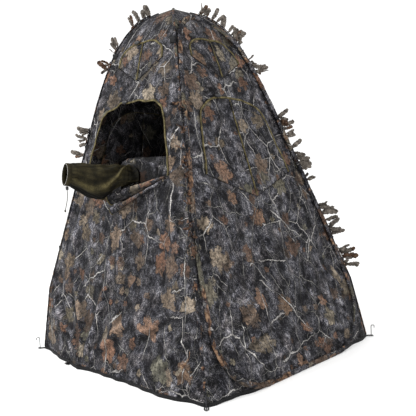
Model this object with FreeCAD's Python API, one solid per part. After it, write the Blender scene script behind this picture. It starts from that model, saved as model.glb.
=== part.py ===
"""Pop up ground blind: a square fabric cabin held up by four spring steel hoops.

Origin at the centre of the base, on the ground. +Z up, -Y out through the front wall, millimetres.
Each wall is drawn in its own frame: u runs along the wall to the right as seen from outside,
depth runs outwards from the cabin's centre line, and z is height. The cabin leans a little, so
the centre line drifts towards -X and -Y with height.
"""
import FreeCAD, Part
import math
import os

os.makedirs("parts", exist_ok=True)
Vec = FreeCAD.Vector

# ---- driving dimensions ------------------------------------------------------------------
TIP = 600.0              # base corner, from the centre to each side
FOOT_DEPTH = 640.0       # wall plane's distance from the centre line at the ground
MAIN_SLOPE = 0.26        # how far the main wall plane comes in for each mm of height
HIP_Z = 320.0            # where the corner gussets end
THIGH_Z = 490.0          # where the hoops' sides straighten
SHOULDER_Z = 1320.0      # top of the main wall plane
BROW_Z, BROW_DEPTH = 1550.0, 216.0
CROWN_Z, CROWN_DEPTH = 1660.0, 135.0
PEAK_Z, PEAK_DEPTH = 1716.0, 32.0
LEAN = 0.0408            # sideways drift of the centre line for each mm of height

CLOTH = 2.0              # thickness of the cloth panels' stand-in
GAP = 0.5                # clearance between pieces that lie on each other
EDGE_GAP = 3.0           # wall panel's edge to the corner edge
HEM_TOP = 15.0
HEM_THICK = 4.0

HOOP_R = 2.2             # spring steel hoop
FERRULE_R, FERRULE_LENGTH = 4.0, 50.0
SLEEVE_BORE, SLEEVE_R = 5.2, 7.0
HOOP_Z = 12.0            # hoop's height along the ground
HOOP_EDGE = 14.0         # hoop's distance in from the corner edge
HOOP_CORNER_R = 250.0
HOOP_CORNER_IN = 22.0    # the rounded corner's distance in from the gusset's seam
SHOULDER_STAND, BROW_STAND, CROWN_STAND = 1.15, 1.6, 1.9
CROWN_DROP = 30.0        # the hoops' tops stay below the crown cap
HOOP_INSIDE, HOOP_OUTSIDE = -13.0, 9.0

PIPING = 5.0             # width of the piping round an opening
PIPING_THICK = 2.4
SLIDER_FOOT_CLEAR = 72.0  # keeps the pull clear of the wall when its flap is folded down
HINGE_RISE = 4.5         # flap's lower edge above its hinge line
# The rolled flaps' thick ends, in (u, z): the right-hand roll is pulled across the middle line.
ROLL_INNER_END = {1: (-75.0, 736.0), -1: (-136.0, 808.0)}
ROLL_THICK_R, ROLL_THIN_R = 22.0, 8.0

LENS_U, LENS_Z = 30.0, 866.0          # where the lens sleeve's axis crosses the front wall
LENS_AXIS = Vec(-0.28, -0.96, 0.127)
LENS_START, LENS_END = 40.0, 290.0    # the sleeve's ends, along its axis from the wall
LENS_BASE_R, LENS_MOUTH_R = 70.0, 48.0
LENS_HOLE = 76.0                      # half of the panel's hole, across
LENS_PANEL_TOP = 990.0
CORD_R = 1.6

TAB_HEIGHTS = (515.0, 1030.0, 1490.0)
TAB = 25.0
PEG_R, PEG_HEIGHT = 2.0, 58.0
HEM_LOOP_U, HEM_TAB_U = -173.0, -273.0
LOOP_REACH, LOOP_WIDTH, LOOP_SLOT, LOOP_THICK = 38.0, 20.0, 9.0, 2.4

WALLS = {
    "front": ((0, -1), (1, 0)),
    "right": ((1, 0), (0, 1)),
    "back": ((0, 1), (-1, 0)),
    "left": ((-1, 0), (0, -1)),
}
WINDOW_WALLS = ("front", "right", "left")
CORNERS = {                # the corner at each wall's right-hand end
    "front": "front_right",
    "right": "back_right",
    "back": "back_left",
    "left": "front_left",
}

SEAM_LEVELS = (HEM_TOP + GAP, HIP_Z, SHOULDER_Z, BROW_Z, CROWN_Z, PEAK_Z)

# Half outlines of the openings, from the bottom of the V up the right side to the top edge.
LOWER_WINDOW = [(0, 770), (295, 880), (215, 1180), (110, 1240)]
UPPER_WINDOW = [(0, 1336), (165, 1430), (150, 1490), (80, 1532)]
DOOR = [(270, 110), (240, 950), (170, 1110), (70, 1160)]


# ---- places on the walls -----------------------------------------------------------------
def depth_at(z):
    """The wall surface's distance from the centre line at height z."""
    shoulder_depth = FOOT_DEPTH - MAIN_SLOPE * SHOULDER_Z
    if z <= SHOULDER_Z:
        return FOOT_DEPTH - MAIN_SLOPE * z
    steps = [(SHOULDER_Z, shoulder_depth), (BROW_Z, BROW_DEPTH), (CROWN_Z, CROWN_DEPTH),
             (PEAK_Z, PEAK_DEPTH)]
    for (z0, d0), (z1, d1) in zip(steps, steps[1:]):
        if z <= z1 + 1e-6:
            return d0 + (d1 - d0) * (z - z0) / (z1 - z0)
    return PEAK_DEPTH


def half_width(z):
    """Distance from a wall's middle line to its corner edge at height z."""
    if z < HIP_Z:
        return TIP + (depth_at(HIP_Z) - TIP) * z / HIP_Z
    return depth_at(z)


def at(wall, u, depth, z):
    (nx, ny), (tx, ty) = WALLS[wall]
    return Vec(nx * depth + tx * u - LEAN * z, ny * depth + ty * u - LEAN * z, z)


def on_wall(wall, u, z, out=0.0):
    return at(wall, u, depth_at(z) + out, z)


def inward(wall, distance):
    (nx, ny), _ = WALLS[wall]
    return Vec(-nx * distance, -ny * distance, 0)


# ---- solids ------------------------------------------------------------------------------
def prism(points, sweep):
    """A flat outline, extruded."""
    return Part.Face(Part.makePolygon(points + [points[0]])).extrude(sweep)


def panel(wall, outline, out=0.0, thick=CLOTH):
    """A cloth panel on a wall: outline in (u, z), its outer face out from the wall surface."""
    points = [on_wall(wall, u, z, out) for u, z in outline]
    return prism(points, inward(wall, thick))


def mirrored(outline):
    return [(-u, z) for u, z in reversed(outline)]


def hull_box(lower, upper):
    """A solid with six flat faces between two four-sided rings of points."""
    faces = [lower, upper]
    faces += [[lower[i], lower[i - 1], upper[i - 1], upper[i]] for i in range(4)]
    shell = Part.makeShell([Part.Face(Part.makePolygon(f + [f[0]])) for f in faces])
    return Part.makeSolid(shell)


def unit(vector):
    result = Vec(vector)
    result.normalize()
    return result


def rounded_path(points, radii=None, show=None):
    """Straight runs joined by tangent arcs: each radius is as large as its two runs allow."""
    edges = []
    here = points[0]
    used = []
    for i in range(1, len(points) - 1):
        before, after = points[i] - points[i - 1], points[i + 1] - points[i]
        turn = before.getAngle(after)
        reach = 0.45 * min(before.Length, after.Length)
        radius = reach / math.tan(turn / 2)
        if radii and radii.get(i):
            radius = radii[i]
            reach = radius * math.tan(turn / 2)
        start = points[i] - unit(before) * reach
        end = points[i] + unit(after) * reach
        middle_dir = unit(unit(after) - unit(before))
        sagitta = radius / math.cos(turn / 2) - radius
        edges.append(Part.LineSegment(here, start).toShape())
        edges.append(Part.Arc(start, points[i] + middle_dir * sagitta, end).toShape())
        here = end
        used.append(round(radius, 1))
    edges.append(Part.LineSegment(here, points[-1]).toShape())
    if show:
        print(show, "arc radii", used)
    return Part.Wire(edges)


def pipe(path, radius):
    """A round rod along a smooth path."""
    start = path.Edges[0]
    direction = start.tangentAt(start.FirstParameter)
    ring = Part.Wire([Part.makeCircle(radius, start.valueAt(start.FirstParameter), direction)])
    return path.makePipeShell([ring], True, False)


def skin(path, radius):
    """The round surface of a pipe along a path, without its ends."""
    start = path.Edges[0]
    direction = start.tangentAt(start.FirstParameter)
    ring = Part.Wire([Part.makeCircle(radius, start.valueAt(start.FirstParameter), direction)])
    return path.makePipeShell([ring], False, False).Faces


def hollow_pipe(path, outer, bore):
    """A tube along a smooth path: its two skins and its two flat ends."""
    faces = skin(path, outer) + skin(path, bore)
    first, last = path.Edges[0], path.Edges[-1]
    for edge, place in ((first, first.FirstParameter), (last, last.LastParameter)):
        centre, direction = edge.valueAt(place), edge.tangentAt(place)
        rings = [Part.Wire([Part.makeCircle(r, centre, direction)]) for r in (outer, bore)]
        faces.append(Part.Face(rings))
    solid = Part.makeSolid(Part.makeShell(faces))
    solid.fix(1e-4, 1e-4, 1e-4)
    return solid


def rod(start, end, radius):
    return Part.makeCylinder(radius, (end - start).Length, start, end - start)


def tube(start, end, outer, bore):
    return rod(start, end, outer).cut(rod(start, end, bore))


def save(node, solids):
    solids = solids if isinstance(solids, list) else [solids]
    flat = [s for shape in solids for s in shape.Solids]
    bad = [i for i, s in enumerate(flat) if not s.isValid() or s.Volume < 1]
    if bad:
        print("PROBLEM", node, "solids", bad)
    shape = flat[0] if len(flat) == 1 else Part.makeCompound(flat)
    shape.exportStep(f"parts/{node}.step")


# ---- wall panels -------------------------------------------------------------------------
def hoop_corner():
    """The hoop's rounded bottom corner, from the hem up to the side, in (u, z)."""
    centre_u, centre_z = 294.0, HOOP_Z + HOOP_CORNER_R
    angles = [math.radians(a) for a in (30, 60, 83)]
    curve = [(centre_u + HOOP_CORNER_R * math.sin(a), centre_z - HOOP_CORNER_R * math.cos(a))
             for a in angles]
    return [(330.0, HEM_TOP + GAP)] + curve + [(half_width(HIP_Z) - EDGE_GAP, HIP_Z)]


def edge_point(z):
    return (half_width(z) - EDGE_GAP, z)


def gussets(wall):
    """Corner gussets: small panels that fan from the base tip to the hoop's corner."""
    solids = []
    foot_z = HEM_TOP + GAP
    tip_u = half_width(foot_z) - EDGE_GAP
    curve = hoop_corner()
    for side in (1, -1):
        tip = at(wall, side * tip_u, half_width(foot_z), foot_z)
        for (u0, z0), (u1, z1) in zip(curve, curve[1:]):
            corners = [tip, on_wall(wall, side * u0, z0), on_wall(wall, side * u1, z1)]
            solids.append(prism(corners, inward(wall, CLOTH)))
    return solids


def around_opening(wall, opening, floor, ceiling, edge=()):
    """Panels round an opening: one each side of every stretch of its outline, and the top.

    The wall's edge is straight unless its points are given, from the opening's foot upwards.
    """
    solids = []
    for (u0, z0), (u1, z1) in zip(opening, opening[1:]):
        side = [p for p in edge if z0 <= p[1] < z1]
        if not side:
            side = [edge_point(z0)]
        outline = [(u0, z0)] + side + [edge_point(z1), (u1, z1)]
        solids += [panel(wall, outline), panel(wall, mirrored(outline))]
    solids.append(plain_band(wall, opening[-1][1], ceiling))
    if floor < opening[0][1]:
        solids.append(plain_band(wall, floor, opening[0][1]))
    return solids


def plain_band(wall, z0, z1):
    right = [edge_point(z0), edge_point(z1)]
    return panel(wall, right + mirrored(right))


def wall_panels(wall):
    curve = hoop_corner()
    solids = gussets(wall)
    if wall == "back":
        sill = DOOR[0][1]
        low = [p for p in curve if p[1] < sill]
        (ua, za), (ub, zb) = low[-1], curve[len(low)]
        cut = (ua + (ub - ua) * (sill - za) / (zb - za), sill)
        right = low + [cut]
        solids.append(panel(wall, right + mirrored(right)))
        rest = [cut] + [p for p in curve if p[1] > sill]
        solids += around_opening(wall, DOOR, sill, SHOULDER_Z, rest)
        solids.append(plain_band(wall, SHOULDER_Z, BROW_Z))
    else:
        sill = LOWER_WINDOW[0][1]
        right = curve + [edge_point(sill)]
        solids.append(panel(wall, right + mirrored(right)))
        solids += around_opening(wall, LOWER_WINDOW, sill, SHOULDER_Z)
        solids += around_opening(wall, UPPER_WINDOW, SHOULDER_Z, BROW_Z)
    solids.append(plain_band(wall, BROW_Z, CROWN_Z))
    return solids


def crown_cap():
    solids = []
    low, high = CROWN_Z + GAP, PEAK_Z
    for wall in WALLS:
        right = [edge_point(low), (PEAK_DEPTH - EDGE_GAP, high)]
        solids.append(panel(wall, right + mirrored(right)))
    ring = [at("front", -PEAK_DEPTH, PEAK_DEPTH, PEAK_Z + GAP),
            at("front", PEAK_DEPTH, PEAK_DEPTH, PEAK_Z + GAP),
            at("back", -PEAK_DEPTH, PEAK_DEPTH, PEAK_Z + GAP),
            at("back", PEAK_DEPTH, PEAK_DEPTH, PEAK_Z + GAP)]
    solids.append(prism(ring, Vec(0, 0, CLOTH)))
    return solids


def hem_binding():
    """Webbing binding along the ground, three straight stretches on each wall."""
    solids = []
    bend_u = 342.0
    for wall in WALLS:
        middle = [(-bend_u + 1, 0), (bend_u - 1, 0), (bend_u - 1, HEM_TOP), (-bend_u + 1, HEM_TOP)]
        solids.append(panel(wall, middle, thick=HEM_THICK))
        for side in (1, -1):
            tip = TIP - HEM_THICK - 1
            ring = [at(wall, side * (bend_u + 1), depth_at(0), 0), at(wall, side * tip, TIP, 0),
                    at(wall, side * tip, half_width(HEM_TOP), HEM_TOP),
                    on_wall(wall, side * (bend_u + 1), HEM_TOP)]
            triangles = [[ring[0], ring[1], ring[2]], [ring[0], ring[2], ring[3]]]
            solids += [prism(t, inward(wall, HEM_THICK)) for t in triangles]
    return solids


def corner_seams():
    """Bound seams where two walls meet, a square cord of folded tape up each corner."""
    solids = []
    for wall in WALLS:
        rings = []
        for z in SEAM_LEVELS:
            w = half_width(z)
            near, far = w + GAP, w + GAP + 4
            rings.append([at(wall, near, near, z), at(wall, far, near, z),
                          at(wall, far, far, z), at(wall, near, far, z)])
        solids += [hull_box(a, b) for a, b in zip(rings, rings[1:])]
    return solids


# ---- hoops -------------------------------------------------------------------------------
def hoop_path(wall, out):
    """A hoop's closed loop round a wall; it stands further off where the wall leans in more."""
    edge = HOOP_EDGE
    low_corner_u = half_width(HOOP_Z + 150) - edge - HOOP_CORNER_IN
    half = [(1.0, HOOP_Z, 1.0), (low_corner_u, HOOP_Z, 1.0),
            (half_width(THIGH_Z) - edge, THIGH_Z, 1.0),
            (half_width(SHOULDER_Z) - edge, SHOULDER_Z, SHOULDER_STAND),
            (half_width(BROW_Z) - edge - 6, BROW_Z, BROW_STAND),
            (CROWN_DEPTH - 42, CROWN_Z - CROWN_DROP, CROWN_STAND),
            (20.0, CROWN_Z + 26 - CROWN_DROP, CROWN_STAND)]
    outline = half + [(-u, z, stand) for u, z, stand in reversed(half)]
    points = [on_wall(wall, u, z, out * stand) for u, z, stand in outline]
    last = len(points) - 2
    return rounded_path(points, {1: HOOP_CORNER_R, last: HOOP_CORNER_R})


def make_hoops():
    ferrules = []
    for wall in WALLS:
        out = HOOP_INSIDE if wall in ("front", "back") else HOOP_OUTSIDE
        path = hoop_path(wall, out)
        save(f"hoop_{wall}", pipe(path, HOOP_R))
        save(f"hoop_sleeve_{wall}", hollow_pipe(path, SLEEVE_R, SLEEVE_BORE))
        ends = [on_wall(wall, side * FERRULE_LENGTH / 2, HOOP_Z, out) for side in (-1, 1)]
        ferrules.append(tube(ends[0], ends[1], FERRULE_R, HOOP_R + 0.05))
    save("hoop_ferrules", ferrules)


# ---- windows -----------------------------------------------------------------------------
def strip_along(wall, start, end, out, width, thick):
    """A flat strip beside a line on the wall, on the line's right as seen from outside."""
    along = (end[0] - start[0], end[1] - start[1])
    length = math.hypot(*along)
    side = (along[1] / length * width, -along[0] / length * width)
    trim = (along[0] / length * 0.6, along[1] / length * 0.6)
    a = (start[0] + trim[0], start[1] + trim[1])
    b = (end[0] - trim[0], end[1] - trim[1])
    outline = [a, b, (b[0] + side[0], b[1] + side[1]), (a[0] + side[0], a[1] + side[1])]
    return panel(wall, outline, out, thick)


def piping(wall, *openings):
    """Piping sewn round the sides and top of an opening, on the wall's outer face."""
    solids = []
    for opening in openings:
        side = opening[1:]
        for line in (side, mirrored(side), [side[-1], mirrored(side)[0]]):
            for start, end in zip(line, line[1:]):
                solids.append(strip_along(wall, start, end, GAP + PIPING_THICK, PIPING,
                                          PIPING_THICK))
    return solids


def flap(wall, opening, side):
    """Half of a window's flap, closed: a flat panel hinged along its slanted lower edge."""
    (u0, z0), (u1, z1) = opening[0], opening[1]
    outline = [(0.8, z0 + HINGE_RISE), (u1 - 4, z1 + HINGE_RISE)]
    outline += [(u - 2.5, z - 2) for u, z in opening[2:]] + [(0.8, opening[-1][1] - 2)]
    if side < 0:
        outline = mirrored(outline)
    return panel(wall, outline)


def flap_hinge(wall, opening, side):
    """Hinge line of a half flap: a point on it and its direction; a positive turn opens it."""
    foot = on_wall(wall, 0, opening[0][1])
    leg = on_wall(wall, side * opening[1][0], opening[1][1])
    return foot, unit(leg - foot) * side


def rolled_flap(wall, side):
    """The open window's half flap, rolled up and lying along its hinge line outside the wall."""
    u1, z1 = LOWER_WINDOW[1]
    thick_end = on_wall(wall, *ROLL_INNER_END[side], ROLL_THICK_R + 5)
    thin_end = on_wall(wall, side * (u1 - 8), z1 - 12, ROLL_THIN_R + 5)
    axis = thin_end - thick_end
    return Part.makeCone(ROLL_THICK_R, ROLL_THIN_R, axis.Length, thick_end, axis)


def slider(wall, u, z):
    """A zip slider lying on the cloth, with its link and its pull cord hanging below."""
    body = [(u - 4, z - 8), (u + 4, z - 8), (u + 4, z + 8), (u - 4, z + 8)]
    link = [(u - 1.5, z - 13), (u + 1.5, z - 13), (u + 1.5, z + 2), (u - 1.5, z + 2)]
    pull = [(u - 3, z - 40), (u + 3, z - 40), (u + 3, z - 13.5), (u - 3, z - 13.5)]
    return [panel(wall, body, GAP + 4, 4), panel(wall, link, GAP + 6.2, 2),
            panel(wall, pull, GAP + 6.6, 2.8)]


def slider_place(opening, drop=26.0):
    return -6.0, opening[-1][1] - drop


def slider_travel(wall, opening):
    """Where a window's slider starts, which way it runs and how far."""
    u, top = slider_place(opening)
    foot, height = opening[0][1], opening[-1][1] - opening[0][1]
    bottom = foot + max(0.17 * height, SLIDER_FOOT_CLEAR)
    start, end = on_wall(wall, u, top), on_wall(wall, u, bottom)
    return start, unit(end - start), (end - start).Length


def make_windows():
    for wall in WINDOW_WALLS:
        save(f"window_piping_{wall}", piping(wall, LOWER_WINDOW, UPPER_WINDOW))
        for side, name in ((-1, "left"), (1, "right")):
            if wall == "front":
                save(f"front_rolled_flap_{name}", rolled_flap(wall, side))
            else:
                save(f"{wall}_flap_{name}", flap(wall, LOWER_WINDOW, side))
            save(f"{wall}_upper_flap_{name}", flap(wall, UPPER_WINDOW, side))
        save(f"{wall}_upper_slider", slider(wall, *slider_place(UPPER_WINDOW)))
        if wall != "front":
            save(f"{wall}_slider", slider(wall, *slider_place(LOWER_WINDOW)))


# ---- rear door ---------------------------------------------------------------------------
def door_edge(z):
    """The straight side of the doorway, in u."""
    (u0, z0), (u1, z1) = DOOR[0], DOOR[1]
    return u0 + (u1 - u0) * (z - z0) / (z1 - z0)


def door_hinge():
    foot = on_wall("back", -door_edge(DOOR[0][1]), DOOR[0][1])
    top = on_wall("back", -door_edge(DOOR[1][1]), DOOR[1][1])
    return foot, unit(foot - top)


def door_slider_travel():
    low, high = DOOR[0][1] + 60, DOOR[1][1] - 20
    start = on_wall("back", door_edge(low) - 10, low)
    end = on_wall("back", door_edge(high) - 10, high)
    return start, unit(end - start), (end - start).Length


def make_door():
    half = [(DOOR[0][0] - 3, DOOR[0][1] + 3)] + [(u - 3, z - 2) for u, z in DOOR[1:]]
    save("door_panel", panel("back", half + mirrored(half)))
    sill = [(DOOR[0][0], DOOR[0][1]), (-DOOR[0][0], DOOR[0][1])]
    threshold = strip_along("back", sill[1], sill[0], GAP + PIPING_THICK, PIPING, PIPING_THICK)
    lines = []
    for line in (DOOR, [DOOR[-1], mirrored(DOOR)[0]]):
        lines += [strip_along("back", a, b, GAP + PIPING_THICK, PIPING, PIPING_THICK)
                  for a, b in zip(line, line[1:])]
    save("door_piping", lines + [threshold])
    low = DOOR[0][1] + 60
    save("door_slider", slider("back", door_edge(low) - 10, low))


# ---- lens panel and sleeve ---------------------------------------------------------------
def lens_panel():
    """Inner panel behind the front window, with a square hole for the lens sleeve."""
    low, high = LENS_Z - LENS_HOLE + 8, LENS_Z + LENS_HOLE - 8
    left, right = LENS_U - LENS_HOLE, LENS_U + LENS_HOLE
    foot_z, leg_u, leg_z, top_u = 756.0, 300.0, 868.0, 280.0
    v_half = leg_u * (low - foot_z) / (leg_z - foot_z)
    out = -CLOTH - 1
    outlines = [
        [(0, foot_z), (v_half, low), (-v_half, low)],
        [(-v_half, low), (left, low), (left, high), (-top_u - 4, high), (-leg_u, leg_z)],
        [(right, low), (v_half, low), (leg_u, leg_z), (top_u + 4, high), (right, high)],
        [(-top_u - 4, high), (top_u + 4, high), (top_u, LENS_PANEL_TOP), (-top_u, LENS_PANEL_TOP)],
    ]
    return [panel("front", outline, out) for outline in outlines]


def lens_pivot():
    return on_wall("front", LENS_U, LENS_Z)


def lens_point(distance):
    return lens_pivot() + unit(LENS_AXIS) * distance


def lens_tilt_axis():
    """Level, square to the sleeve; a positive turn lifts the mouth."""
    return unit(unit(LENS_AXIS).cross(Vec(0, 0, 1)))


def cone_tube(start, end, r_start, r_end, wall_thick):
    axis = end - start
    outer = Part.makeCone(r_start, r_end, axis.Length, start, axis)
    inner = Part.makeCone(r_start - wall_thick, r_end - wall_thick, axis.Length, start, axis)
    return outer.cut(inner)


def cord_points():
    """The drawcord's tail: it hangs from the underside of the mouth and swings a little."""
    mouth_low = lens_point(LENS_END + 6) + Vec(0, 0, -LENS_MOUTH_R - 3.4)
    steps = [(0, 0, 0), (0, 0, -26), (-1.5, 0, -54), (-8, -2, -82), (-16, -5, -106)]
    return [mouth_low + Vec(*step) for step in steps]


def make_lens_sleeve():
    save("lens_panel", lens_panel())
    save("lens_sleeve", cone_tube(lens_point(LENS_START), lens_point(LENS_END), LENS_BASE_R,
                                  LENS_MOUTH_R, 2.2))
    save("lens_mouth_hem", tube(lens_point(LENS_END + 0.2), lens_point(LENS_END + 14),
                                LENS_MOUTH_R + 2.4, LENS_MOUTH_R - 3))
    points = cord_points()
    tail = pipe(rounded_path(points, show="drawcord"), CORD_R)
    length = sum((b - a).Length for a, b in zip(points, points[1:]))
    print("drawcord volume", round(tail.Volume), "section x runs",
          round(math.pi * CORD_R ** 2 * length))
    save("drawcord", tail)
    lock_top = points[0] + Vec(0, 0, -1)
    save("cord_lock", tube(lock_top, lock_top + Vec(0, 0, -16), 6.5, 3.0))
    knot = points[-1] + unit(points[-1] - points[-2]) * 4.4
    save("cord_knot", Part.makeSphere(4.4, knot))


# ---- pegs, loops and tabs ----------------------------------------------------------------
def diagonal(wall):
    """Outward diagonal at the corner on a wall's right-hand end."""
    (nx, ny), (tx, ty) = WALLS[wall]
    return unit(Vec(nx + tx, ny + ty, 0))


def loop_places():
    """Name, start and outward direction of each peg loop."""
    places = [(CORNERS[wall], at(wall, TIP, TIP, 0), diagonal(wall)) for wall in WALLS]
    hem_place = at("front", HEM_LOOP_U, FOOT_DEPTH, 0)
    places.append(("front_hem", hem_place, inward("front", -1)))
    return places


def flat_bar(start, out, across, reach, sideways, z):
    """A flat bar of webbing: reach and sideways are its extents along and across."""
    corners = [(reach[0], sideways[0]), (reach[1], sideways[0]), (reach[1], sideways[1]),
               (reach[0], sideways[1])]
    points = [start + out * a + across * b + Vec(0, 0, z) for a, b in corners]
    return prism(points, Vec(0, 0, LOOP_THICK))


def peg_loops():
    solids = []
    half, slot = LOOP_WIDTH / 2, LOOP_SLOT / 2
    for _, start, out in loop_places():
        across = Vec(-out.y, out.x, 0)
        inner, outer, bar = 8.0, LOOP_REACH, 6.0
        z = 3.0
        solids.append(flat_bar(start, out, across, (1.0, inner), (-half, half), z))
        for a, b in ((-half, -slot), (slot, half)):
            solids.append(flat_bar(start, out, across, (inner, outer - bar), (a, b), z))
        solids.append(flat_bar(start, out, across, (outer - bar, outer), (-half, half), z))
    hem_tab = at("front", HEM_TAB_U, FOOT_DEPTH, 0)
    out = inward("front", -1)
    across = Vec(-out.y, out.x, 0)
    solids.append(flat_bar(hem_tab, out, across, (1.0, 34.0), (-12, 12), 3.0))
    return solids


def peg(start, out):
    """A wire peg standing in the slot of its loop, hooked at the top."""
    foot = start + out * (LOOP_REACH - 12.0) + Vec(0, 0, 1.0)
    top = foot + Vec(0, 0, PEG_HEIGHT)
    points = [foot, top, top + out * 16, top + out * 16 + Vec(0, 0, -14)]
    return pipe(rounded_path(points, {1: 5.0, 2: 5.0}), PEG_R)


def corner_tabs():
    """Webbing tabs sewn across the corner seams, three heights at each corner."""
    solids = []
    for wall in ("front", "back"):
        for z in TAB_HEIGHTS:
            w = half_width(z + TAB)
            right = [(w - 30, z), (w - 2, z), (w - 2, z + TAB), (w - 30, z + TAB)]
            for outline in (right, mirrored(right)):
                solids.append(panel(wall, outline, GAP + 3.0, 3.0))
    return solids


# ---- garnish -----------------------------------------------------------------------------
GARNISH_RUNS = {
    "front": [(560, 700), (760, 1010), (1060, 1200)],
    "right": [(380, 500), (545, 720), (840, 1010), (1060, 1190), (1380, 1470), (1530, 1700)],
    "back": [(420, 505), (560, 760), (900, 1015), (1070, 1250), (1530, 1690)],
    "left": [(1000, 1024), (1066, 1150), (1440, 1480), (1520, 1560), (1640, 1700)],
}
LEAF_SPACING = 34.0


def leaf(root, direction, sideways, length, width):
    """A flat leaf: a four-sided blade, widest two fifths along."""
    belly = root + direction * (0.4 * length)
    points = [root, belly - sideways * width / 2, root + direction * length,
              belly + sideways * width / 2]
    normal = unit(direction.cross(sideways))
    return prism(points, normal * 1.2)


def garnish(wall):
    """Leaf strips up one corner: a base tape and loose leaves that stand out from it."""
    solids = []
    out = diagonal(wall)
    across = Vec(-out.y, out.x, 0)
    count = 0
    for low, high in GARNISH_RUNS[wall]:
        rings = []
        for z in [low] + [z for z in SEAM_LEVELS if low < z < high] + [high]:
            near = half_width(z) + 6.5
            far = near + 1.6
            rings.append([at(wall, near, near, z), at(wall, far, near, z),
                          at(wall, far, far, z), at(wall, near, far, z)])
        solids += [hull_box(a, b) for a, b in zip(rings, rings[1:])]
        leaves = max(1, round((high - low) / LEAF_SPACING))
        for i in range(leaves):
            z = low + (high - low) * (i + 0.5) / leaves
            w = half_width(z) + 10.5
            swing = math.radians(30 if count % 2 else -30)
            lift = math.radians(50 if z > BROW_Z else 12 * (-1) ** count)
            level = out * math.cos(swing) + across * math.sin(swing)
            direction = unit(level * math.cos(lift) + Vec(0, 0, math.sin(lift)))
            sideways = unit(direction.cross(out * 0.3 + Vec(0.2, 0.1, 1)))
            length = 52 + 12 * math.sin(2.3 * count)
            solids.append(leaf(at(wall, w, w, z), direction, sideways, length, 24))
            count += 1
    return solids


if __name__ == "__main__":
    for wall in WALLS:
        save(f"wall_{wall}", wall_panels(wall))
        save(f"garnish_{CORNERS[wall]}", garnish(wall))
    save("crown_cap", crown_cap())
    save("hem_binding", hem_binding())
    save("corner_seams", corner_seams())
    save("corner_tabs", corner_tabs())
    make_hoops()
    make_windows()
    make_door()
    make_lens_sleeve()
    save("peg_loops", peg_loops())
    for name, start, out in loop_places():
        save(f"peg_{name}", peg(start, out))
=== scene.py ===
"""Looks of a pop up ground blind, built round its CAD frame.

Metres, Z up, origin on the ground at the middle of the base. The front wall faces -Y and the
right-hand wall +X. Each wall has its own coordinates: u runs along it to the right as seen from
outside, z is height, and out is distance outwards from the cloth.
"""
import math

import bmesh
import bpy
import numpy as np
from mathutils import Matrix, Vector, geometry


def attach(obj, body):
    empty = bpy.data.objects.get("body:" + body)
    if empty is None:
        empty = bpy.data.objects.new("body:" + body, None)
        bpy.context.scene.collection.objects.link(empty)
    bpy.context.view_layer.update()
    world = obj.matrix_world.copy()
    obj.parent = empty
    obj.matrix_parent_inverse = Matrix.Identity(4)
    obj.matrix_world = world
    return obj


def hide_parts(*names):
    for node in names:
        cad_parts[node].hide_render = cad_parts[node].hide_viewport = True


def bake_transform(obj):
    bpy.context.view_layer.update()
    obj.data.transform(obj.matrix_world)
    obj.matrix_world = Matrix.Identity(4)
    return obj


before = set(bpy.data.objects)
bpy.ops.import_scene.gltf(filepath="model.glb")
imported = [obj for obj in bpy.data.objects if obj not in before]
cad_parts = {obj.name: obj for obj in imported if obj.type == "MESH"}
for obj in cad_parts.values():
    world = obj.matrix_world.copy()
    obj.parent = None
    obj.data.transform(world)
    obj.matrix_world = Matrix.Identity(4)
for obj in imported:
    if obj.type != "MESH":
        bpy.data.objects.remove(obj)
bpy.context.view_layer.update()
scene = bpy.context.scene
MAIN_BODY = "shell"

# ---- camera ------------------------------------------------------------------------------
CAMERA_PLACE = Vector((2.0894, -2.0542, 0.8650))
CAMERA_AIM = Vector((0.0290, 0.0232, 0.7094))
CAMERA_ROLL = math.radians(-2.1)
CAMERA_FOCAL_MM = 48.7


def make_camera():
    look = (CAMERA_AIM - CAMERA_PLACE).normalized()
    level = look.cross(Vector((0, 0, 1))).normalized()
    upright = level.cross(look)
    right = level * math.cos(CAMERA_ROLL) + upright * math.sin(CAMERA_ROLL)
    up = right.cross(look)
    turn = Matrix((right, up, -look)).transposed().to_4x4()
    data = bpy.data.cameras.new("camera")
    data.lens = CAMERA_FOCAL_MM
    data.sensor_width = 36
    data.clip_start = 0.05
    camera = bpy.data.objects.new("camera", data)
    camera.matrix_world = Matrix.Translation(CAMERA_PLACE) @ turn
    scene.collection.objects.link(camera)
    scene.camera = camera


make_camera()

# ---- shape of the cabin ------------------------------------------------------------------
WALLS = {
    "front": ((0, -1), (1, 0)),
    "right": ((1, 0), (0, 1)),
    "back": ((0, 1), (-1, 0)),
    "left": ((-1, 0), (0, -1)),
}
BASE = 0.640             # a wall's foot, from the centre line
SLOPE = 0.26             # how far a wall comes in for each metre of height
LEAN = 0.0408            # sideways drift of the centre line for each metre of height
TIP = 0.600              # base corner, from the centre to each side
HIP_Z = 0.320            # where the corner gussets end
GUSSET_START = 0.342     # where the gussets start along the ground
CROWN_Z = 1.660          # where the crown cap's seam runs
HEM_TOP = 0.015
CLOTH_THICK = 0.0012
# The wall's distance from the centre line, against height, from the ground to the peak.
PROFILE = [(BASE, 0.0), (0.484, 0.6), (0.354, 1.1), (0.3150, 1.25), (0.2860, 1.35),
           (0.2530, 1.45), (0.2260, 1.52), (0.1960, 1.58), (0.1640, 1.63), (0.1260, 1.67),
           (0.0800, 1.70), (0.0420, 1.716), (0.0, 1.723)]


def catmull(points, steps=12):
    """A smooth curve through points."""
    p = np.array(points, float)
    p = np.vstack([2 * p[0] - p[1], p, 2 * p[-1] - p[-2]])
    t = np.linspace(0, 1, steps, endpoint=False)[:, None]
    parts = []
    for a, b, c, d in zip(p, p[1:], p[2:], p[3:]):
        parts.append(0.5 * (2 * b + (c - a) * t + (2 * a - 5 * b + 4 * c - d) * t ** 2
                            + (3 * b - a - 3 * c + d) * t ** 3))
    return np.vstack(parts + [p[-2][None]])


PROFILE_CURVE = catmull(PROFILE)


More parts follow.
